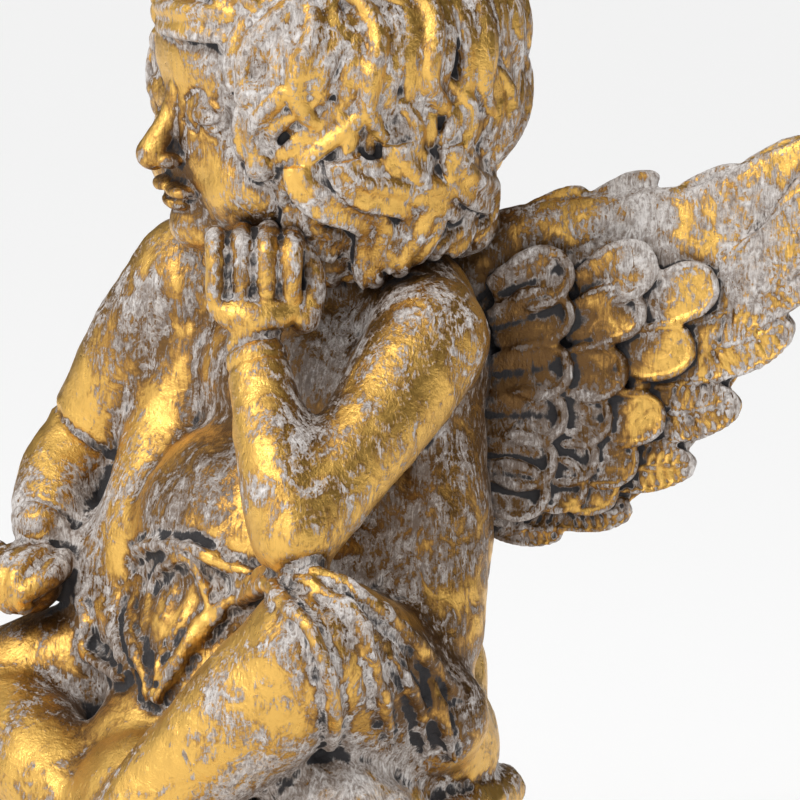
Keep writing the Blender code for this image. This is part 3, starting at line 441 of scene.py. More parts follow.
def head_mass(clay):
    """The skull, the forehead, the cheeks and the jaw."""
    head_part(clay, (0, 0.1, 0.16), (0.88, 1.0, 0.9))
    head_part(clay, (0, -0.28, -0.12), (0.78, 0.68, 0.84))
    head_part(clay, (0, -0.42, 0.3), (0.66, 0.52, 0.5))
    for side in (-1, 1):
        head_part(clay, (side * 0.38, -0.54, -0.4), (0.37, 0.37, 0.35))
    head_part(clay, (0, -0.5, -0.72), (0.46, 0.42, 0.26))
    head_part(clay, (0, -0.78, -0.74), (0.22, 0.2, 0.17))
    head_part(clay, (0, -0.72, -0.45), (0.3, 0.22, 0.25))


def features(clay):
    """The closed eyes, the nose and the lips."""
    for side in (-1, 1):
        head_part(clay, (side * 0.3, -0.76, 0.04), (0.21, 0.17, 0.14))
        head_part(clay, (side * 0.085, -1.0, -0.27), (0.075, 0.09, 0.06))
        head_part(clay, (side * 0.085, -0.93, -0.475), (0.125, 0.1, 0.055))
    head_part(clay, (0, -0.91, -0.56), (0.125, 0.1, 0.06))
    bridge = on_head([(0, -0.86, 0.14), (0, -0.93, -0.02), (0, -1.02, -0.16), (0, -1.07, -0.24)])
    clay.limb([(*p, r * HEAD_SIZE) for p, r in zip(bridge, (0.09, 0.085, 0.095, 0.105))])


def head(clay):
    """The head's masses blended into one, then its features."""
    masses = Clay()
    head_mass(masses)
    add_mesh(clay, fused(masses, BODY_GRAIN, 10))
    features(clay)


def hair_radius(direction):
    """How far the hair's ground reaches from the head's centre along a direction, in shares of the head's size."""
    x, y, z = np.moveaxis(np.asarray(direction, float), -1, 0)
    return 1 / np.sqrt((x / 0.93) ** 2 + (y / 1.05) ** 2 + (z / 1.03) ** 2)


def hair_direction(turn, rise):
    """A direction from the head's centre: turn is from the front towards the figure's left, both in degrees."""
    turn, rise = np.radians(turn), np.radians(rise)
    return np.stack([np.sin(turn) * np.cos(rise), -np.cos(turn) * np.cos(rise), np.sin(rise)], -1)


def lock(clay, start, end, width, wave=0.0, lift=0.05, curl=0.0, depth=0.62, out=0.05):
    """A lock of hair over the head from start to end, each (turn, rise). curl rolls its tip, out raises it."""
    count = 22
    t = np.linspace(0, 1, count)
    turn = start[0] + (end[0] - start[0]) * t + wave * np.sin(2 * math.pi * t)
    rise = start[1] + (end[1] - start[1]) * t
    rays = hair_direction(turn, rise)
    radius = hair_radius(rays) + out + lift * np.sin(math.pi * t) ** 2
    path = on_head(rays * radius[:, None] + np.array((0, 0.1, 0.1)))
    ups = rays @ head_place()[0].T
    profile = np.sqrt(np.clip(1 - (2 * t - 1) ** 6, 0, 1)) * (0.62 + 0.38 * np.sin(math.pi * (0.12 + 0.76 * t)))
    profile = np.maximum(profile, 0.12)
    if curl:
        along = unit_rows(path[-1:] - path[-3:-2])[0]
        up = ups[-1] - along * (ups[-1] @ along)
        up /= np.linalg.norm(up)
        swing = np.linspace(0, 1.45 * math.pi, 12)[1:]
        size = curl * (1 - 0.42 * swing / swing[-1])
        hook = path[-1] + (np.sin(swing) * size)[:, None] * along + ((1 - np.cos(swing)) * size)[:, None] * up
        outward = np.cos(swing)[:, None] * up - np.sin(swing)[:, None] * along
        path, ups = np.concatenate([path, hook]), np.concatenate([ups, outward])
        profile[-4:] = profile[-5]
        profile = np.concatenate([profile, profile[-1] * np.linspace(0.95, 0.45, len(swing))])
    clay.sweep(path, ups, profile * width, profile * width * depth, 44, 6, 0.13)


# Locks that hang below the head on its left, from the cheek round to the nape
LOW_TRESSES = [[(18, -21, 102), (20, -16, 98), (18.5, -9.5, 92), (16.5, -6, 86.5)],
               [(23, -18, 103), (23, -11, 99.5), (21.5, -5, 94), (19, -3.5, 87.5)],
               [(25, -10, 105), (23, -2.5, 99), (19, 4, 93.5), (18, 2.5, 88.5)],
               [(25.5, -1.5, 104.5), (21, 6, 99), (16, 11, 94), (15, 9, 90)],
               [(15.5, -17.5, 96), (13.5, -12.5, 91), (10, -8, 86)]]


def tress(clay, points, width):
    """A hanging wavy lock through the points, its strands turned away from the neck."""
    path = spline(points, 22)
    ups = path - vector(NECK)
    ups[:, 2] = 1
    across = unit_rows(np.cross(np.gradient(path, axis=0), ups))
    path = path + across * (0.42 * width * np.sin(np.linspace(0, 2.6 * math.pi, 22)))[:, None]
    girth = width * (0.55 + 0.45 * np.sin(np.linspace(0.25, math.pi - 0.2, 22)))
    clay.sweep(path, ups, girth, girth * 0.62, 44, 6, 0.13)
    clay.ball(path[-1], girth[-1] * 0.6)


def hair(clay):
    """Locks in tiers, each as long as it is wide across three or four, over the balls that carry them."""
    turn, _ = head_place()
    clay.ball(on_head((0, 0.27, 0.3))[0], HEAD_SIZE * vector((1.03, 1.05, 0.96)), turn)
    clay.ball(on_head((0, 0.42, 0.02))[0], HEAD_SIZE * vector((1.03, 0.9, 1.0)), turn)
    clay.ball(on_head((0, 0.4, -0.34))[0], HEAD_SIZE * vector((0.88, 0.72, 0.68)), turn)
    clay.ball((3.5, 9, 95.5), (12, 9.5, 9.5))
    clay.ball((11, -3, 94.5), (11, 9.5, 9.5))
    clay.ball((-9, -1, 98), (10, 9.5, 9))
    for points in LOW_TRESSES:
        tress(clay, points, 4.2)
        if len(points) > 3:
            tress(clay, [(1.5 - 0.9 * x, y + 2, z + 3) for x, y, z in points], 4.2)
    for side in (-1, 1):
        clay.ball(on_head((side * 0.6, -0.2, 0))[0], HEAD_SIZE * vector((0.38, 0.5, 0.55)), turn)
        clay.ball(on_head((side * 0.56, -0.38, -0.18))[0], HEAD_SIZE * vector((0.29, 0.32, 0.34)), turn)
    for i in range(13):  # from the crown over the top
        turn_to = -166 + 27.7 * i
        lock(clay, (turn_to - 75, 84), (turn_to, 27 + 6 * (i % 2)), 4.7, 7 * (-1) ** i, 0.06, 0, 0.78)
    for i in range(12):  # the middle tier
        turn_to = 62 + 21.5 * i
        lock(clay, (turn_to - 16, 48), (turn_to + 8, -8 - 8 * (i % 2)), 4.4, 8, 0.06, 1.7 * (i % 2), 0.85)
    for i in range(12):  # the lower tier
        turn_to = 66 + 21.5 * i
        lock(clay, (turn_to - 8, 12), (turn_to + 9, -40 - 6 * (i % 2)), 4.1, 8, 0.06, 1.8, 0.85)
    for i in range(8):  # the nape
        turn_to = 84 + 27 * i
        lock(clay, (turn_to - 8, -18), (turn_to + 4, -60), 3.9, 5 * (-1) ** i, 0.05, 1.6, 0.8)
    for i in range(5):
        angle = math.radians(20 + 35 * i)
        x, y = 3 + 11 * math.cos(angle), 8.5 + 8.5 * math.sin(angle)
        clay.limb([(x * 0.95, y * 0.95, 100, 3.4), (x, y, 95, 3.3), (x + 1.5, y, 91, 2.6),
                   (x - 0.6, y * 0.9, 89, 1.8)], 18)
    for side, width, out in ((1, 4.0, 0.05), (-1, 3.8, -0.06)):  # the temples
        for start, end in (((66, 60), (40, 10)), ((72, 40), (42, -13)), ((82, 24), (50, -34)), ((92, 6), (62, -58)),
                           ((104, -10), (80, -66))):
            lock(clay, (side * start[0], start[1]), (side * end[0], end[1]), width, side * 7, 0.05, 1.4, 0.8, out)
    for i in range(4):  # the fringe
        turn_to = -36 + 24 * i
        lock(clay, (turn_to + 16, 56), (turn_to - 6, 26), 4.2, 8 * (-1) ** i, 0.02, 0.8, 0.8, -0.03)
    lock(clay, (46, 36), (-14, 25), 4.0, 6, 0.04, 0, 0.8, -0.01)


def wing_place(side, span, height, out):
    """Points of a wing, out towards its front face. It turns from backwards to sideways along its span."""
    span, height, out = (np.asarray(v, float) for v in (span, height, out))
    share = np.clip(span / WING_SPAN, -0.2, 1.1)
    change = WING_TURN_TIP - WING_TURN_ROOT
    mean = WING_TURN_ROOT + change * share / 2
    here = WING_TURN_ROOT + change * share
    x = WING_ROOT[0] + span * np.cos(mean) + out * np.sin(here)
    y = WING_ROOT[1] + span * np.sin(mean) - out * np.cos(here)
    return np.stack([side * x, y, height + 0 * span], -1)


def feather(clay, side, tip, rake, length, half_width, half_depth, out, bow=0.0, cup=0.0, rim=0.0):
    """A rounded feather: rake is its tilt, bow how far its middle hangs, rim the size of its raised border."""
    axis = vector((math.cos(rake), math.sin(rake)))
    t = 0.5 - 0.5 * np.cos(np.linspace(0.02, 0.985, 20) * math.pi)
    flat = vector(tip) - axis * length * (1 - t)[:, None]
    flat[:, 1] -= bow * length * np.sin(math.pi * t)
    lift = out + 0.5 * half_depth * np.sin(math.pi * t)
    path = wing_place(side, flat[:, 0], flat[:, 1], lift)
    ups = wing_place(side, flat[:, 0], flat[:, 1], lift + 1) - path
    wide = np.where(t < 0.62, 0.62 + 0.38 * np.sin(t / 0.62 * math.pi / 2),
                    np.sqrt(np.clip(1 - ((t - 0.62) / 0.38) ** 2, 0, 1)))
    thick = np.clip(np.minimum(1, (1 - t) / 0.12 + 0.25), 0.25, 1)
    wide = np.maximum(wide, 0.05) * half_width
    clay.sweep(path, ups, wide, thick * half_depth, 36, 4, -cup)
    if rim:
        across = unit_rows(np.cross(np.gradient(path, axis=0), ups))
        high = path + ups * (half_depth * 0.72)
        border = np.concatenate([(high + across * wide[:, None] * 0.86)[6:18], high[18:19],
                                 (high - across * wide[:, None] * 0.86)[6:18][::-1]])
        size = rim * np.minimum(1, np.sin(np.linspace(0.15, math.pi - 0.15, len(border))) * 2.2)
        clay.sweep(border, np.tile(ups[10], (len(border), 1)), size, size, 12)


def wing_plate(clay, side):
    """The slab that carries the feathers, between the root, the tips and the leading edge."""
    tips = [(w, h) for w, h, *_ in LONG_FEATHERS]
    heels = [(-2, 50.2), (-2, 57), (-2, 63), (-2, 69), (-2, 75), (0, 80), (6, 84), (12, 88)]
    grid = spline([(*heel, *tip) for heel, tip in zip(heels, tips)], 36)
    shares = np.linspace(0, 0.93, 16)
    flat = grid[:, None, :2] + (grid[:, None, 2:] - grid[:, None, :2]) * shares[:, None]
    rows, columns = flat.shape[:2]
    slope = np.clip(np.arange(rows)[::-1] / 10, 0, 1)[:, None]  # it thins out towards the leading edge
    inward = slope * (1 - shares / shares[-1])
    front = wing_place(side, flat[..., 0], flat[..., 1], 0.9 + 3.6 * inward ** 0.7).reshape(-1, 3)
    behind = wing_place(side, flat[..., 0], flat[..., 1], -0.6 - 3.0 * inward).reshape(-1, 3)
    number = np.arange(rows * columns).reshape(rows, columns)
    faces = []
    for i in range(rows - 1):
        for j in range(columns - 1):
            quad = [number[i, j], number[i, j + 1], number[i + 1, j + 1], number[i + 1, j]]
            faces.append(quad)
            faces.append([k + rows * columns for k in quad[::-1]])
    rim = [*number[0, :], *number[1:, -1], *number[-1, -2::-1], *number[-2:0:-1, 0]]
    for a, b in zip(rim, rim[1:] + rim[:1]):
        faces.append([b, a, a + rows * columns, b + rows * columns])
    clay.add(np.concatenate([front, behind]), [[int(k) for k in face] for face in faces])


def wing(clay, side):
    """One wing: leading edge, long feathers and three rows of coverts on both faces."""
    edge = spline(WING_EDGE, 48)
    path = wing_place(side, edge[:, 0], edge[:, 1], -0.4)
    ups = wing_place(side, edge[:, 0], edge[:, 1], 1.0) - path
    clay.sweep(path, ups, edge[:, 2], edge[:, 2] * 0.6 + 0.3)
    clay.ball(path[-1], edge[-1, 2])
    wing_plate(clay, side)
    for i, (span, height, half_width, length, tilt) in enumerate(LONG_FEATHERS):
        rake = math.radians(tilt)
        feather(clay, side, (span, height), rake, length, half_width, 1.5, 0.7 - 0.2 * (i % 2), 0.03, 0.08, 0.5)
        feather(clay, side, (span, height), rake, length, half_width * 0.94, 1.3, -0.7, 0.03)
    for row, middles in enumerate(COVERT_ROWS):
        count = (5, 6, 6)[row]
        for i, (span, height) in enumerate(spline(middles, count)):
            rake = math.radians(-14 + 36 * i / (count - 1))
            tip = (span + 4.6 * math.cos(rake), height + 4.6 * math.sin(rake))
            feather(clay, side, tip, rake, 11.5, 4.1, 1.5, 2.6 + 1.2 * row, 0, 0.12 + 0.12 * row, 0.65 + 0.15 * row)
            feather(clay, side, tip, rake, 12.5, 3.9, 1.2, -1.8 - 0.9 * row)
    for span, height in ((14.5, 82.5), (23.5, 69.3)):  # where the coverts leave a pit
        clay.ball(wing_place(side, span, height, 2.2), 2.0)
    for tip, reach in (((16.2, 95.9), 13), ((26, 98.2), 13), ((38, 99.2), 13), ((48, 103.3), 12)):
        feather(clay, side, tip, 0.42, reach, 2.3, 1.1, -1.6)


def base(clay):
    """A low rock, a little lumpy, cut flat below."""
    deep = BASE_THICKNESS / UNIT
    margin = BASE_MARGIN / UNIT
    ring = np.linspace(0, 2 * math.pi, 72, endpoint=False)
    middle = vector((-2.5, -14))
    half = vector((39, 37)) + margin
    rows = []
    for share, level in ((1.02, -1.8), (1.03, -1.0), (1.0, -0.55), (0.97, -0.3), (0.93, -0.08), (0.8, 0.02)):
        swell = 1 + 0.025 * np.sin(5 * ring + 1 + level) + 0.02 * np.sin(9 * ring + 2.5 - 2 * level)
        swell += 0.018 * np.abs(np.sin(8.5 * ring + 3 * level))
        corner = (np.abs(np.cos(ring)) ** 2.6 + np.abs(np.sin(ring)) ** 2.6) ** (-1 / 2.6)
        x = middle[0] + half[0] * share * swell * corner * np.cos(ring)
        y = middle[1] + half[1] * share * swell * corner * np.sin(ring)
        rows.append(np.stack([x, y, np.full(72, level * deep)], -1))
    stack(clay, rows)


def cut_flat(mesh, level):
    """Cuts the mesh off flat at a height and closes it there."""
    edit = bmesh.new()
    edit.from_mesh(mesh)
    everything = edit.verts[:] + edit.edges[:] + edit.faces[:]
    bmesh.ops.bisect_plane(edit, geom=everything, dist=1e-7, plane_co=(0, 0, level), plane_no=(0, 0, 1),
                           clear_inner=True)
    rim = [e for e in edit.edges if e.is_boundary]
    filled = bmesh.ops.edgeloop_fill(edit, edges=rim)
    bmesh.ops.triangulate(edit, faces=filled["faces"])
    bmesh.ops.recalc_face_normals(edit, faces=edit.faces[:])
    edit.to_mesh(mesh)
    edit.free()


def arrays(mesh):
    """Points, unit normals and edges of a mesh."""
    points = np.empty(len(mesh.vertices) * 3)
    normals = np.empty(len(mesh.vertices) * 3)
    edges = np.empty(len(mesh.edges) * 2, np.int32)
    mesh.vertices.foreach_get("co", points)
    mesh.vertex_normals.foreach_get("vector", normals)
    mesh.edges.foreach_get("vertices", edges)
    return points.reshape(-1, 3), normals.reshape(-1, 3), edges.reshape(-1, 2)


def move_points(mesh, points):
    """Puts the mesh's points in new places."""
    mesh.vertices.foreach_set("co", np.asarray(points, np.float32).ravel())
    mesh.update()


TABLE_ROWS = 4096  # random values in each table, a power of two


def table_rows(cell):
    """The row of a random table that belongs to each grid cell."""
    mixed = cell[:, 0] * 73856093 ^ cell[:, 1] * 19349663 ^ cell[:, 2] * 83492791
    return mixed & (TABLE_ROWS - 1)


def lumps(points, size, seed):
    """Smooth random values between -1 and 1 that change over the given size."""
    table = np.random.default_rng(seed).uniform(-1, 1, TABLE_ROWS)
    grid = points / size + 100.5
    low = np.floor(grid).astype(np.int64)
    part = grid - low
    part = part * part * (3 - 2 * part)
    total = np.zeros(len(points))
    for corner in range(8):
        step = np.array([corner & 1, corner >> 1 & 1, corner >> 2])
        weight = np.prod(np.where(step, part, 1 - part), axis=1)
        total += weight * table[table_rows(low + step)]
    return total


def smoothed(values, edges, rounds):
    """Values at the points, averaged with their neighbours again and again."""
    count = len(values)
    ends = np.concatenate([edges[:, 0], edges[:, 1]])
    others = np.concatenate([edges[:, 1], edges[:, 0]])
    share = 1 / np.maximum(np.bincount(ends, minlength=count), 1)
    values = values.copy()
    for _ in range(rounds):
        for column in range(values.shape[1]):
            mean = np.bincount(ends, weights=values[others, column], minlength=count) * share
            values[:, column] += 0.7 * (mean - values[:, column])
    return values


def stroke(points, normals, path, width, depth, count=40):
    """Moves points along their normals near a path that lies on the skin: in for a positive depth."""
    path = spline(path, count)
    near = np.all((points > path.min(0) - width * 2.5) & (points < path.max(0) + width * 2.5), axis=1)
    near = np.flatnonzero(near)
    if len(near) == 0:
        return points
    cloud = points[near]
    snapped = np.array([cloud[np.argmin(((cloud - p) ** 2).sum(1))] for p in path])
    gap = np.full(len(near), np.inf)
    for a, b in zip(snapped[:-1], snapped[1:]):
        run = b - a
        share = np.clip(((cloud - a) @ run) / max(run @ run, 1e-9), 0, 1)
        gap = np.minimum(gap, np.linalg.norm(cloud - a - share[:, None] * run, axis=1))
    fall = np.clip(1 - (gap / width) ** 2, 0, 1) ** 2
    points[near] -= normals[near] * (depth * fall)[:, None]
    return points


def ring_path(centre, axis, radius, start=0, end=360, count=14):
    """Points round an axis, for a crease that runs round a limb."""
    turn = turned(axis, (0, 0, 0))
    angle = np.radians(np.linspace(start, end, count))
    return vector(centre) + radius * np.stack([np.cos(angle), np.sin(angle), np.zeros(count)], -1) @ turn.T


def scoops(points, size, seed):
    """Depths of shallow scoops that meet in ridges, as a knife leaves them: 0 on a ridge, about 1 in a middle."""
    table = np.random.default_rng(seed).uniform(0.05, 0.95, (TABLE_ROWS, 3))
    grid = points / size + 100.5
    low = np.floor(grid).astype(np.int64)
    nearest = np.full(len(points), 9.0)
    for code in range(27):
        cell = low + np.array([code % 3 - 1, code // 3 % 3 - 1, code // 9 - 1])
        nearest = np.minimum(nearest, ((cell + table[table_rows(cell)] - grid) ** 2).sum(1))
    return np.clip(1 - nearest / 0.62, -0.5, 1)


def hand_worked(points, normals, amount=1.0, facet=5.5, deep=0.3):
    """The small unevenness that the modeller's knife and the casting leave."""
    soft = 0.2 * lumps(points, 7.0, 3)
    warped = points + 1.6 * np.stack([lumps(points, 6, seed) for seed in (41, 43, 47)], -1)
    cuts = deep * scoops(warped * np.array((1, 1, 0.6)), facet, 5) + 0.07 * scoops(warped, facet * 0.42, 15)
    fine = 0.05 * lumps(points, 1.7, 7) + 0.025 * lumps(points, 0.8, 9)
    return points + normals * (amount * (soft - cuts + fine))[:, None]


# Where the pale wash lies thicker or thinner, and where painted shade is laid deeper into the colour: middle,
# radius and amount, in units
FACE = on_head((0, -0.85, -0.2))[0]
WASH_SPOTS = [((22, -22, 8), 26, 0.28), ((-6, -27, 52), 13, 0.14), ((0, -8, 112), 34, 0.15),
              ((-30, -16, 52), 15, 0.12), ((-50, 40, 95), 34, 0.09), ((50, 40, 95), 34, 0.09),
              ((34, -16, 36), 14, -0.12), ((19, 2, 50), 18, 0.12), ((0, 18, 30), 26, 0.08),
              ((20, -40, 30), 16, 0.04), ((0, 24, 90), 26, 0.06), ((0, -14, 74), 16, 0.04), (FACE, 15, -0.22)]
PAINTED_SHADE_SPOTS = [((16, 18, 70), 22, 0.5), ((-16, 18, 70), 22, 0.5), ((-14, -33, 28), 9, 0.3), ((0, -14, 92), 12, 0.3),
              ((21, 2, 50), 18, 0.32), ((2, -16, 72), 15, 0.5), ((-7, -26, 54), 14, 0.22), ((32, -8, 32), 14, 0.34),
              ((20, -20, 8), 22, 0.06), ((-8, -28, 36), 13, 0.24),
              ((-25, -10, 74), 15, 0.18), ((8, 4, 108), 22, 0.08), ((-4, -26, 56), 12, 0.14)]


def spots(points, table):
    """How much of each spot reaches the points, added up."""
    total = np.zeros(len(points))
    for middle, radius, amount in table:
        gap = ((points - vector(middle)) ** 2).sum(1) / radius**2
        total += amount * np.clip(1 - gap, 0, 1)
    return total


def hollows(points, normals, edges, grain):
    """How far each point lies in a hollow: narrow ones about 1 wide and broader ones about 3 wide."""
    narrow_rounds = max(2, round((0.75 / grain) ** 2 * 2.2))
    broad_rounds = round(narrow_rounds * 6)
    narrow = smoothed(points, edges, narrow_rounds)
    broad = smoothed(narrow, edges, broad_rounds)
    return (np.einsum("ij,ij->i", narrow - points, normals),
            np.einsum("ij,ij->i", broad - points, normals))


class Piece:
    """One visible mesh: fused, worked over, measured for its hollows and thinned."""

    def __init__(self, name, clay, soften, work, cloth=None, floor=None):
        grain, triangles = DETAIL[name][1]
        mesh = fused(clay, grain, soften)
        outer_skin(mesh)
        points, normals, edges = arrays(mesh)
        cloth_share = np.zeros(len(points))
        if cloth is not None:
            cloth_share = cloth(points)
        move_points(mesh, work(points, normals, cloth_share))
        if floor is not None:
            cut_flat(mesh, floor)
            cloth_share = np.zeros(len(mesh.vertices))
        points, normals, edges = arrays(mesh)
        narrow, broad = hollows(points, normals, edges, grain)
        tree = KDTree(len(points))
        for index, point in enumerate(points):
            tree.insert(point, index)
        tree.balance()
        self.mesh = mesh
        if len(mesh.polygons) * 2 > triangles:
            self.mesh = thinned(mesh, triangles)
        self.name = name
        self.points, self.normals, _ = arrays(self.mesh)
        nearest = np.array([tree.find(point)[1] for point in self.points])
        self.values = {"narrow_hollow": narrow[nearest], "broad_hollow": broad[nearest],
                       "cloth_share": cloth_share[nearest], "wash_share": spots(self.points, WASH_SPOTS)}


def outer_skin(mesh):
    """Removes every closed pocket inside the skin, so that one surface is left."""
    _, _, edges = arrays(mesh)
    label = np.arange(len(mesh.vertices))
    while True:
        low = np.minimum(label[edges[:, 0]], label[edges[:, 1]])
        before = label.copy()
        np.minimum.at(label, edges[:, 0], low)
        np.minimum.at(label, edges[:, 1], low)
        label = label[label]
        if (label == before).all():
            break
    names, sizes = np.unique(label, return_counts=True)
    if len(names) == 1:
        return
    edit = bmesh.new()
    edit.from_mesh(mesh)
    inside = label != names[np.argmax(sizes)]
    bmesh.ops.delete(edit, geom=[v for v, gone in zip(edit.verts, inside) if gone], context="VERTS")
    edit.to_mesh(mesh)
    edit.free()


SKY_RAYS = 22
SKY_REACH = 13.0  # a surface farther off than this, in units, shades nothing
SKY_START = 0.25  # how far off the skin each ray starts


def shade_values(pieces):
    """How open each point of the pieces is to the sky around it, from rays against all of them: baked occlusion
    that the material paints into the colour as shade.
    """
    points = np.concatenate([piece.points for piece in pieces])
    faces, count = [], 0
    for piece in pieces:
        faces += [[i + count for i in face.vertices] for face in piece.mesh.polygons]
        count += len(piece.points)
    tree = BVHTree.FromPolygons(points.tolist(), faces)
    chance = np.random.default_rng(11)
    rays = unit_rows(chance.normal(size=(SKY_RAYS, 3)))
    samples = []
    for piece in pieces:
        step = 5
        for index in range(0, len(piece.points), step):
            point, normal = piece.points[index], piece.normals[index]
            start = Vector(point + normal * SKY_START)
            free = total = 0.0
            for ray in rays:
                facing = float(ray @ normal)
                aim = ray if facing > 0 else -ray
                weight = abs(facing)
                hit = tree.ray_cast(start, aim, SKY_REACH)
                total += weight
                free += weight * (1 if hit[0] is None else (hit[3] / SKY_REACH) ** 0.8)
            samples.append((point, free / total))
    lookup = KDTree(len(samples))
    for index, (point, _) in enumerate(samples):
        lookup.insert(point, index)
    lookup.balance()
    amounts = np.array([value for _, value in samples])
    for piece in pieces:
        baked_sky_light = np.empty(len(piece.points))
        for index, point in enumerate(piece.points):
            found = lookup.find_n(point, 3)
            weights = [1 / (distance + 0.05) for _, _, distance in found]
            baked_sky_light[index] = sum(w * amounts[i] for w, (_, i, _) in zip(weights, found)) / sum(weights)
        # Painted shade: the spots lower the sky light further, and the material turns that into darker colour.
        piece.values["baked_sky_light"] = baked_sky_light * (1 - spots(piece.points, PAINTED_SHADE_SPOTS))


def place(piece, material):
    """The piece as an object in metres, on the body and in place of the solid."""
    mesh = piece.mesh
    for name, values in piece.values.items():
        field = mesh.attributes.new(name, "FLOAT", "POINT")
        field.data.foreach_set("value", np.asarray(values, np.float32))
    mesh.transform(Matrix.Translation((0, 0, BASE_THICKNESS)) @ Matrix.Diagonal((UNIT, UNIT, UNIT, 1)))
    mesh.shade_smooth()
    mesh.materials.clear()
    mesh.materials.append(material)
    obj = bpy.data.objects.new(piece.name, mesh)
    bpy.context.scene.collection.objects.link(obj)
    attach(obj, "root")
    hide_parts("angel_figurine")
    return obj


class Nodes:
    """Short ways to add and link shader nodes."""

    def __init__(self, tree):
        self.tree = tree

    def add(self, kind, settings=None, **inputs):
        """A node of a kind with its settings, each input by its name, or by i and its number."""
        node = self.tree.nodes.new("ShaderNode" + kind)
        for key, value in (settings or {}).items():
            setattr(node, key, value)
        for key, value in inputs.items():
            self.put(node, int(key[1:]) if key[0] == "i" and key[1:].isdigit() else key.replace("_", " "), value)
        return node

    def put(self, node, socket, value):
        """Links or writes a value into an input."""
        if isinstance(value, bpy.types.NodeSocket):
            self.tree.links.new(value, node.inputs[socket])
        else:
            node.inputs[socket].default_value = value

    def field(self, name):
        """The values that the mesh carries under a name."""
        return self.add("Attribute", {"attribute_name": name}).outputs["Fac"]

    def noise(self, place, scale, detail, roughness, distortion):
        """Noise about zero, between -0.5 and 0.5."""
        fac = self.add("TexNoise", None, Vector=place, Scale=scale, Detail=detail, Roughness=roughness,
                       Distortion=distortion).outputs["Fac"]
        return self.math("SUBTRACT", fac, 0.5)

    def math(self, operation, *values):
        """The result of a sum or product of values."""
        node = self.add("Math", {"operation": operation})
        for index, value in enumerate(values):
            self.put(node, index, value)
        return node.outputs[0]

    def total(self, *terms):
        """The sum of value times weight over the (value, weight) terms and of the plain numbers."""
        result = None
        for term in terms:
            value = self.math("MULTIPLY", *term) if isinstance(term, tuple) else term
            result = value if result is None else self.math("ADD", result, value)
        return result

    def step(self, value, low, high):
        """A smooth rise from 0 at low to 1 at high."""
        node = self.add("MapRange", {"interpolation_type": "SMOOTHSTEP"})
        for index, item in enumerate((value, low, high, 0.0, 1.0)):
            self.put(node, index, item)
        return node.outputs[0]

    def mix(self, share, a, b):
        """The colour a share of the way from a to b."""
        node = self.add("Mix", {"data_type": "RGBA"})
        self.put(node, 0, share)
        self.put(node, 6, a)
        self.put(node, 7, b)
        return node.outputs[2]


BRIGHT_GOLD = (0.80, 0.48, 0.12, 1.0)
# Deep gold and brown glaze: the gilding's own darker tones, and also painted shade where the baked occlusion is
# high.
DEEP_GOLD_AND_SHADE = (0.42, 0.225, 0.06, 1.0)
BROWN_GLAZE_AND_SHADE = (0.16, 0.085, 0.032, 1.0)
PALE_WASH = (0.80, 0.77, 0.75, 1.0)
# Dull wash: the wash's own darker streaks, and also painted shade in closed-in places.
DULL_WASH_AND_SHADE = (0.19, 0.15, 0.125, 1.0)
# Charcoal: the dark wash in the deepest cuts, and also painted shade.
CHARCOAL_WASH_AND_SHADE = (0.022, 0.020, 0.022, 1.0)


def brushed(n, place_at, angle, scale):
    """Noise drawn out into short curved strokes that run at an angle over the figure."""
    turned_place = n.add("Mapping", {"vector_type": "POINT"}, Vector=place_at, Rotation=angle,
                         Scale=(1.0, 1.0, 0.26))
    return n.noise(turned_place.outputs[0], scale, 3, 0.6, 1.9)


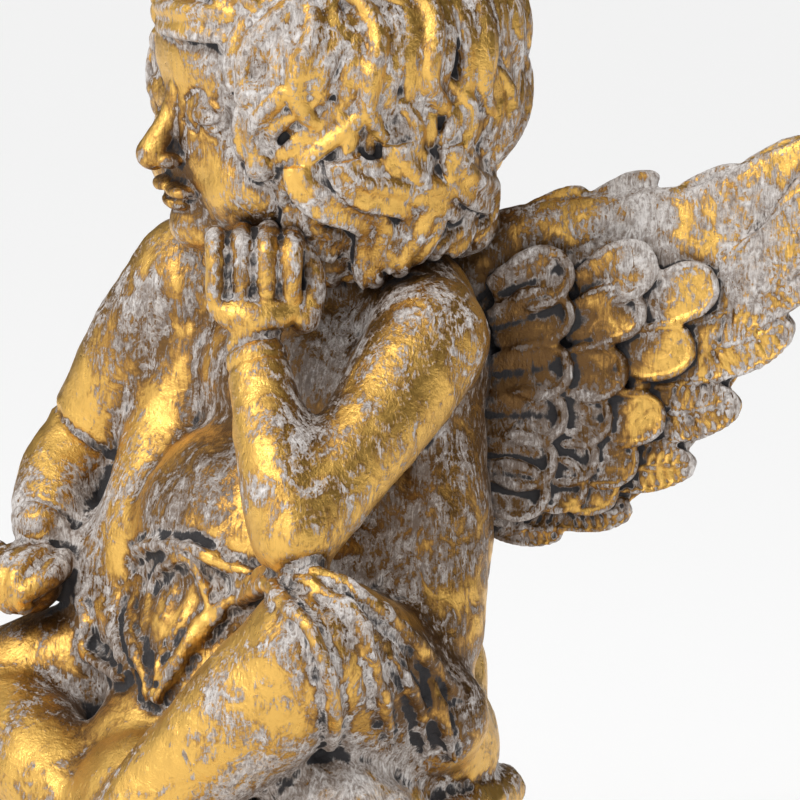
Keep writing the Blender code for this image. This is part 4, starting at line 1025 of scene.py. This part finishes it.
def antique_gold():
    """Gold leaf on the broad swells, brown glaze between, a pale dry-brushed wash on edges and in hollows, charcoal
    in the deepest cuts. Shade is painted into the colour too: the deep gold, the brown, the dull wash and the
    charcoal gather where the baked sky occlusion is high."""
    material = bpy.data.materials.new("antique_gold")
    material.use_nodes = True
    tree = material.node_tree
    shader = tree.nodes["Principled BSDF"]
    n = Nodes(tree)
    place_at = n.add("TexCoord").outputs["Object"]
    narrow, broad = n.field("narrow_hollow"), n.field("broad_hollow")
    baked_sky_light, cloth, wash_share = n.field("baked_sky_light"), n.field("cloth_share"), n.field("wash_share")
    patch = n.noise(place_at, 62, 2, 0.5, 0.8)
    blots = n.noise(place_at, 210, 5, 0.62, 1.6)
    ragged = n.noise(place_at, 900, 4, 0.72, 1.2)
    speck = n.noise(place_at, 2600, 2, 0.6, 0.3)
    strokes = brushed(n, place_at, (0.9, 0.5, 0.3), 1050)
    cross_strokes = brushed(n, place_at, (-0.7, 1.1, -0.4), 900)
    # Baked occlusion from the sky rays and the shade spots: below, it paints shade into the colour.
    baked_occlusion = n.math("SUBTRACT", 1.0, baked_sky_light)

    edge = n.step(n.math("ABSOLUTE", narrow), 0.03, 0.16)
    sunk = n.step(broad, -0.05, 0.45)
    wear = n.total((patch, 1.0), (blots, 1.1), (ragged, 0.5), (speck, 0.25), (strokes, 0.7), (cross_strokes, 0.7))
    pale = n.step(n.total((edge, 0.2), (sunk, 0.12), (baked_occlusion, 0.14), (wash_share, 1.1), (cloth, 0.03), wear),
                  0.06, 0.26)
    # Charcoal wash in the narrow cuts, plus painted shade where the baked occlusion is high.
    charcoal_and_shade = n.step(n.total((n.step(narrow, 0.02, 0.16), 0.3), (sunk, 0.12), (baked_occlusion, 0.75), (blots, 0.6),
                          (strokes, 0.35)), 0.42, 0.62)
    # Brown glaze in random patches and hollows, plus painted shade where the baked occlusion is high.
    shade_and_glaze = n.step(n.total((baked_occlusion, 1.3), (sunk, 0.4), (edge, 0.25), (patch, 1.5), (blots, 1.3), (strokes, 0.6)),
                   -0.2, 0.5)
    gold = n.mix(n.step(shade_and_glaze, 0.0, 0.6), BRIGHT_GOLD, DEEP_GOLD_AND_SHADE)
    gold = n.mix(n.step(shade_and_glaze, 0.45, 1.0), gold, BROWN_GLAZE_AND_SHADE)
    # The wash streaks between pale and dull, and is painted darker as shade where the baked occlusion is high.
    wash = n.mix(n.step(n.total(ragged, (strokes, 1.2), (baked_occlusion, 0.5)), -0.3, 0.4), PALE_WASH, DULL_WASH_AND_SHADE)
    cover = n.math("MULTIPLY", pale, n.math("ADD", 0.8, blots))
    colour = n.mix(cover, gold, wash)
    colour = n.mix(charcoal_and_shade, colour, CHARCOAL_WASH_AND_SHADE)
    n.put(shader, "Base Color", colour)
    dull = n.math("MAXIMUM", n.math("MULTIPLY", cover, 1.05), charcoal_and_shade)
    n.put(shader, "Metallic", n.total(0.93, (dull, -0.9)))
    n.put(shader, "Roughness", n.total(0.33, (dull, 0.3), (blots, 0.35), (ragged, 0.2), (shade_and_glaze, 0.1)))
    height = n.total((blots, 0.9), (ragged, 0.5), (speck, 0.15), (strokes, 0.25), (cross_strokes, 0.25),
                     (pale, 0.12))
    bump = n.add("Bump", None, Strength=0.6, Distance=0.0004, Height=height)
    n.put(shader, "Normal", bump.outputs["Normal"])
    return material


def cloth_measure():
    """A function that tells how far points lie on the cloth rather than on the skin."""
    clay = Clay()
    folds(clay)
    cloud = np.concatenate(clay.points)
    tree = KDTree(len(cloud))
    for index, point in enumerate(cloud):
        tree.insert(point, index)
    tree.balance()

    def measure(points):
        gap = np.array([tree.find(point)[2] for point in points])
        return np.clip(1.6 - gap, 0, 1)

    return measure


# Creases of the cloth between the thighs, which fan out from where the shins cross, each with its width and depth
LAP_CREASES = [([(-17, -25.5, 39.5), (-11, -28.5, 35), (-6, -31, 30)], 1.7, 0.4),
               ([(-13, -27.5, 43.5), (-9, -29.5, 37), (-5, -31.5, 30)], 1.2, 0.25),
               ([(-9, -28, 45), (-6.5, -30, 38), (-4, -31.5, 30)], 1.8, 0.45),
               ([(-5, -28, 46), (-4.5, -30.5, 38), (-3, -31.5, 30)], 1.2, 0.22),
               ([(-1, -28, 46), (-2, -30.5, 38), (-2.5, -31.5, 30)], 1.7, 0.4),
               ([(2.5, -27, 44), (0, -29.5, 37), (-2, -31.5, 30)], 1.2, 0.25)]


# Creases round the arms: the joint, the two ends of the limb, the share of its length from the joint, and the
# crease's radius, width and depth
ARM_CREASES = [(LEFT_WRIST, LEFT_ELBOW, LEFT_WRIST, 0.02, 4.6, 1.0, 0.55),
               (LEFT_WRIST, LEFT_ELBOW, LEFT_WRIST, 0.12, 4.9, 0.8, 0.3),
               (RIGHT_WRIST, RIGHT_ELBOW, RIGHT_WRIST, 0.05, 4.6, 1.0, 0.55),
               (RIGHT_ELBOW, RIGHT_ELBOW, RIGHT_SHOULDER, -0.08, 6.8, 1.1, 0.5)]


def body_piece():
    """The body, limbs, hands, feet and cloth."""
    body = Clay()
    for form in (torso, arms, legs, lap_cloth):
        form(body)
    clay = Clay()
    add_mesh(clay, fused(body, BODY_GRAIN, round(16 / BODY_GRAIN)))
    for form in (left_fist, right_hand, feet, folds):
        form(clay)

    def work(points, normals, cloth):
        points = hand_worked(points, normals)
        crinkle = 0.35 * scoops(points, 3.1, 21) + 0.12 * lumps(points, 1.1, 23)
        points = points - normals * (cloth * crinkle)[:, None]
        for path, width, depth in LAP_CREASES:
            points = stroke(points, normals, path, width, depth)
        for joint, near_end, far_end, share, radius, width, depth in ARM_CREASES:
            arm = vector(near_end) - vector(far_end)
            crease = ring_path(vector(joint) + arm * share, arm, radius)
            points = stroke(points, normals, crease, width, depth)
        return points

    return Piece("figure_body", clay, 3, work, cloth_measure())


def head_piece():
    """The head with its hair, its lids, nostrils and lips cut in."""
    clay = Clay()
    head(clay)
    hair(clay)

    def work(points, normals, cloth):
        points = hand_worked(points, normals, 0.7, 4.0, 0.16)
        for side in (-1, 1):
            lid = on_head([(side * 0.48, -0.84, 0.03), (side * 0.38, -0.95, -0.035), (side * 0.27, -0.98, -0.045),
                           (side * 0.15, -0.92, -0.01)])
            points = stroke(points, normals, lid, 0.75, 0.4)
            fold = on_head([(side * 0.46, -0.85, 0.13), (side * 0.3, -0.95, 0.19), (side * 0.15, -0.94, 0.13)])
            points = stroke(points, normals, fold, 0.8, 0.35)
            nostril = on_head([(side * 0.05, -1.08, -0.31), (side * 0.1, -1.03, -0.32)])
            points = stroke(points, normals, nostril, 0.75, 0.45, 6)
        lips = on_head([(-0.2, -0.92, -0.52), (-0.1, -0.98, -0.515), (0, -0.99, -0.52), (0.1, -0.98, -0.515),
                        (0.2, -0.92, -0.52)])
        return stroke(points, normals, lips, 0.7, 0.5)

    return Piece("figure_head", clay, 2, work)


# The rough scored line that crosses the long feathers, as span and height
SCORED_LINE = [(42.6, 100.5), (42, 95.6), (39.5, 89.8), (37, 82.8), (34.8, 75.8), (33.2, 69.6), (30.8, 64.5)]


def vane_point(side, tip, rake, length, back, aside, out):
    """A place on a long feather: back from its tip and aside from its shaft, as shares of its length."""
    along, across = (math.cos(rake), math.sin(rake)), (-math.sin(rake), math.cos(rake))
    bow = 0.03 * length * math.sin(math.pi * back)
    span = tip[0] + (across[0] * aside - along[0] * back) * length
    height = tip[1] + (across[1] * aside - along[1] * back) * length - bow
    return wing_place(side, span, height, out)


def carve_vanes(points, normals, side):
    """The shafts and barbs of the long feathers, on both faces of the wing, and the scored line on the front."""
    for out, reach in ((2.4, 0.42), (-2.4, 0.6)):
        for span, height, half_width, length, tilt in LONG_FEATHERS:
            rake = math.radians(tilt)

            def on_vane(back, aside):
                return vane_point(side, (span, height), rake, length, back, aside, out)

            shaft = [on_vane(back, 0) for back in np.linspace(0.03, reach, 6)]
            points = stroke(points, normals, shaft, 0.75, -0.28)
            half = half_width / length
            for back in np.arange(0.05, reach, 1.35 / length):
                for turn in (-1, 1):
                    barb = [on_vane(back + 0.03, turn * half * 0.12), on_vane(back - 0.02, turn * half * 0.82)]
                    points = stroke(points, normals, barb, 0.5, 0.15, 8)
    line = [wing_place(side, span, height, 2.5) for span, height in SCORED_LINE]
    points = stroke(points, normals, line, 1.3, 0.3, 60)
    return points


def wing_piece(side, name):
    """A wing with its feathers' shafts and barbs cut in."""
    clay = Clay()
    wing(clay, side)

    def work(points, normals, cloth):
        points = hand_worked(points, normals, 0.7, 3.6, 0.2)
        return carve_vanes(points, normals, side)

    return Piece(name, clay, 2, work)


def base_piece():
    """The rock, roughened and cut flat below."""
    clay = Clay()
    base(clay)

    def work(points, normals, cloth):
        rough = 0.35 * lumps(points, 5, 31) + 0.3 * (np.abs(lumps(points, 2.6, 33)) - 0.4)
        return points + normals * rough[:, None]

    return Piece("rock_base", clay, 2, work, floor=-BASE_THICKNESS / UNIT)


CAMERA_TURN, CAMERA_RISE = math.radians(52), math.radians(6)
PIXEL = 0.000139 * UNIT / 0.001  # what a pixel of the photograph covers at the figure
PHOTO_SIZE = 800
ORIGIN_IN_PHOTO = (345, 960)  # where the frame's origin would show, below the picture
LENS = 400.0
FILM_WIDTH = 36


def camera():
    """The photograph's camera. Tells which ways its right and its back point."""
    back = Vector((math.sin(CAMERA_TURN) * math.cos(CAMERA_RISE), -math.cos(CAMERA_TURN) * math.cos(CAMERA_RISE),
                   math.sin(CAMERA_RISE)))
    right = Vector((math.cos(CAMERA_TURN), math.sin(CAMERA_TURN), 0))
    up = back.cross(right)
    middle = PHOTO_SIZE // 2
    target = right * (middle - ORIGIN_IN_PHOTO[0]) * PIXEL + up * (ORIGIN_IN_PHOTO[1] - middle) * PIXEL
    obj = bpy.data.objects.new("camera", bpy.data.cameras.new("camera"))
    bpy.context.scene.collection.objects.link(obj)
    obj.data.lens = LENS
    obj.data.sensor_width = FILM_WIDTH
    obj.location = target + back * PHOTO_SIZE * PIXEL / FILM_WIDTH * LENS
    obj.rotation_mode = "QUATERNION"
    obj.rotation_quaternion = (-back).to_track_quat("-Z", "Y")
    obj.data.clip_start, obj.data.clip_end = 0.05, 20
    bpy.context.scene.camera = obj
    return right, back


def lamp(name, place, aim, size, power):
    """A rectangular white lamp that shines towards aim."""
    light = bpy.data.lights.new(name, "AREA")
    light.shape = "RECTANGLE"
    light.size, light.size_y = size
    light.energy = power
    obj = bpy.data.objects.new(name, light)
    bpy.context.scene.collection.objects.link(obj)
    obj.location = place
    obj.rotation_mode = "QUATERNION"
    obj.rotation_quaternion = (Vector(place) - Vector(aim)).to_track_quat("Z", "Y")


def studio(right, back):
    """A soft lamp from the upper left of the camera, a weak one from the front, and a plain white surrounding that
    the gold mirrors as a dim room, brighter towards the lamp."""
    middle = Vector((0, 0, 0.08))
    up = Vector((0, 0, 1))
    lamp("key_light", middle + back * 0.5 - right * 0.5 + up * 0.45, middle, (0.22, 0.22), 2.1)
    lamp("front_light", middle + back * 0.9 - right * 0.25 + up * 0.05, middle, (0.3, 0.3), 0.35)
    world = bpy.data.worlds.new("studio")
    bpy.context.scene.world = world
    world.use_nodes = True
    n = Nodes(world.node_tree)
    out = world.node_tree.nodes["World Output"]
    bright = world.node_tree.nodes["Background"]
    bright.inputs["Color"].default_value = (1, 1, 1, 1)
    bright.inputs["Strength"].default_value = 1.0
    aim = (back * 0.5 - right * 0.75 + up * 0.6).normalized()
    facing = n.add("VectorMath", {"operation": "DOT_PRODUCT"})
    n.put(facing, 0, n.add("TexCoord").outputs["Generated"])
    n.put(facing, 1, tuple(aim))
    tone = n.mix(n.step(facing.outputs["Value"], 0.2, 1.0), (0.055, 0.052, 0.05, 1), (1.25, 1.25, 1.22, 1))
    dim = n.add("Background", None, Color=tone, Strength=1.0)
    mixed = n.add("MixShader", None, Fac=n.add("LightPath").outputs["Is Glossy Ray"])
    world.node_tree.links.new(bright.outputs[0], mixed.inputs[1])
    world.node_tree.links.new(dim.outputs[0], mixed.inputs[2])
    world.node_tree.links.new(mixed.outputs[0], out.inputs["Surface"])


def floor():
    """The plain pale ground that the figure stands on."""
    mesh = bpy.data.meshes.new("floor")
    edit = bmesh.new()
    bmesh.ops.create_grid(edit, x_segments=1, y_segments=1, size=4.0)
    edit.to_mesh(mesh)
    edit.free()
    material = bpy.data.materials.new("floor")
    material.use_nodes = True
    shader = material.node_tree.nodes["Principled BSDF"]
    shader.inputs["Base Color"].default_value = (0.93, 0.93, 0.93, 1)
    shader.inputs["Roughness"].default_value = 0.8
    mesh.materials.append(material)
    obj = bpy.data.objects.new("floor", mesh)
    bpy.context.scene.collection.objects.link(obj)


def main():
    """Builds the pieces, the floor, the camera and the light."""
    material = antique_gold()
    pieces = [body_piece(), head_piece(), wing_piece(1, "left_wing"), wing_piece(-1, "right_wing"), base_piece()]
    shade_values(pieces)
    for piece in pieces:
        place(piece, material)
    floor()
    studio(*camera())
    bpy.context.scene.view_settings.view_transform = "Standard"


main()
